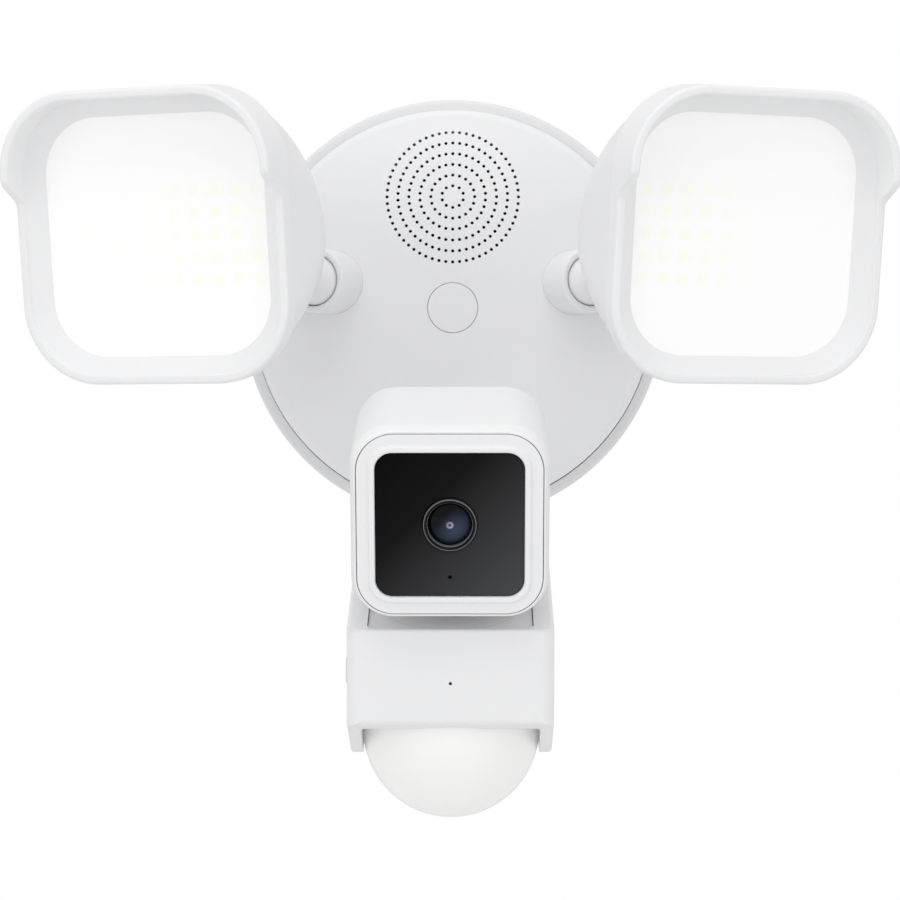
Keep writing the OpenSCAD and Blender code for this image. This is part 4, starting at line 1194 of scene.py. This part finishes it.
# %% [markdown]
# ## Floor, light and camera
#
# The object is shown floating before a white studio, lit softly from above and in front.
# A bright world does most of it: it wraps light round the white plastic, and only the
# hollows go grey. One large light overhead gives the tops their extra brightness, and one
# in front on each side fills the faces. The floor is far below, white, and seen only from
# above, so that a view from underneath isn't blocked. The floor and the world show pure
# white to the camera but light the object with their own greys. The view camera stands
# level in front, with a long lens.

# %% Floor
floor_mesh = bpy.data.meshes.new("studio_floor")
FLOOR_Z, FLOOR_HALF = -0.42, 12.0
floor_mesh.from_pydata([(x * FLOOR_HALF, y * FLOOR_HALF, FLOOR_Z) for x, y in
                        ((-1, -1), (1, -1), (1, 1), (-1, 1))], [], [(0, 1, 2, 3)])
floor = new_object("studio_floor", floor_mesh)
floor_material = bpy.data.materials.new("studio_floor_white")
floor_material.use_nodes = True
tree = floor_material.node_tree
shader = tree.nodes["Principled BSDF"]
shader.inputs["Base Color"].default_value = tint(0.85, 0.85, 0.85)
shader.inputs["Roughness"].default_value = 0.9
plain = add(tree, "ShaderNodeEmission", Color=FULL, Strength=1.0)
direct = add(tree, "ShaderNodeLightPath").outputs["Is Camera Ray"]
lit = add(tree, "ShaderNodeMixShader", _0=direct, _1=shader.outputs[0], _2=plain.outputs[0])
clear = add(tree, "ShaderNodeBsdfTransparent")
behind = add(tree, "ShaderNodeNewGeometry").outputs["Backfacing"]
blend = add(tree, "ShaderNodeMixShader", _0=behind, _1=lit.outputs[0], _2=clear.outputs[0])
tree.links.new(blend.outputs[0], tree.nodes["Material Output"].inputs["Surface"])
floor_mesh.materials.append(floor_material)
floor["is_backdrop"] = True

# %% World and lights
scene = bpy.context.scene
scene.view_settings.view_transform = "Standard"
world = bpy.data.worlds.new("white_studio")
scene.world = world
world.use_nodes = True
tree = world.node_tree
up = parts_of(tree, add(tree, "ShaderNodeTexCoord").outputs["Generated"])[2]
sky = ramp(tree, calc(tree, "MULTIPLY_ADD", up, 0.5, 0.5),
           [(0.0, tint(0.4, 0.4, 0.405)), (0.45, tint(0.72, 0.72, 0.725)),
            (0.7, tint(0.72, 0.72, 0.725)), (1.0, tint(0.85, 0.85, 0.85))])
seen_by_camera = add(tree, "ShaderNodeLightPath").outputs["Is Camera Ray"]
tree.links.new(mixed(tree, seen_by_camera, sky, FULL), tree.nodes["Background"].inputs["Color"])
tree.nodes["Background"].inputs["Strength"].default_value = 1.0


def soft_light(name, place, aim, size, power):
    lamp = bpy.data.lights.new(name, "AREA")
    lamp.shape, lamp.size, lamp.energy = "SQUARE", size, power
    holder = new_object(name, lamp)
    holder.location, holder.visible_glossy = place, False
    holder.rotation_euler = (Vector(aim) - Vector(place)).to_track_quat("-Z", "Y").to_euler()
    return holder


TARGET = (0.0, -0.08, -0.03)
soft_light("overhead", (-0.15, -0.75, 1.25), TARGET, 1.1, 5.0)
soft_light("front_left", (-1.3, -1.6, 0.35), TARGET, 1.2, 5.4)
soft_light("front_right", (1.4, -1.5, 0.2), TARGET, 1.2, 4.2)

# %% View camera
EYE, LENS_MM, SHIFT = (0.0057, -0.790, -0.0424), 101.6, -0.0242
view_camera = bpy.data.cameras.new("front_view")
view_camera.lens, view_camera.sensor_width, view_camera.shift_x = LENS_MM, 36.0, SHIFT
view_camera.clip_start, view_camera.clip_end = 0.05, 50.0
eye = new_object("front_view", view_camera)
eye.location, eye.rotation_euler = EYE, (pi / 2, 0, 0)
scene.camera = eye

# %% Measure, and finish
low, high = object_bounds()
moved = [round((a - b) / MM, 2) for a, b in zip((*low, *high), (*cad_low, *cad_high))]
print("The visual box's sides stand from the CAD box's by", moved, "mm")
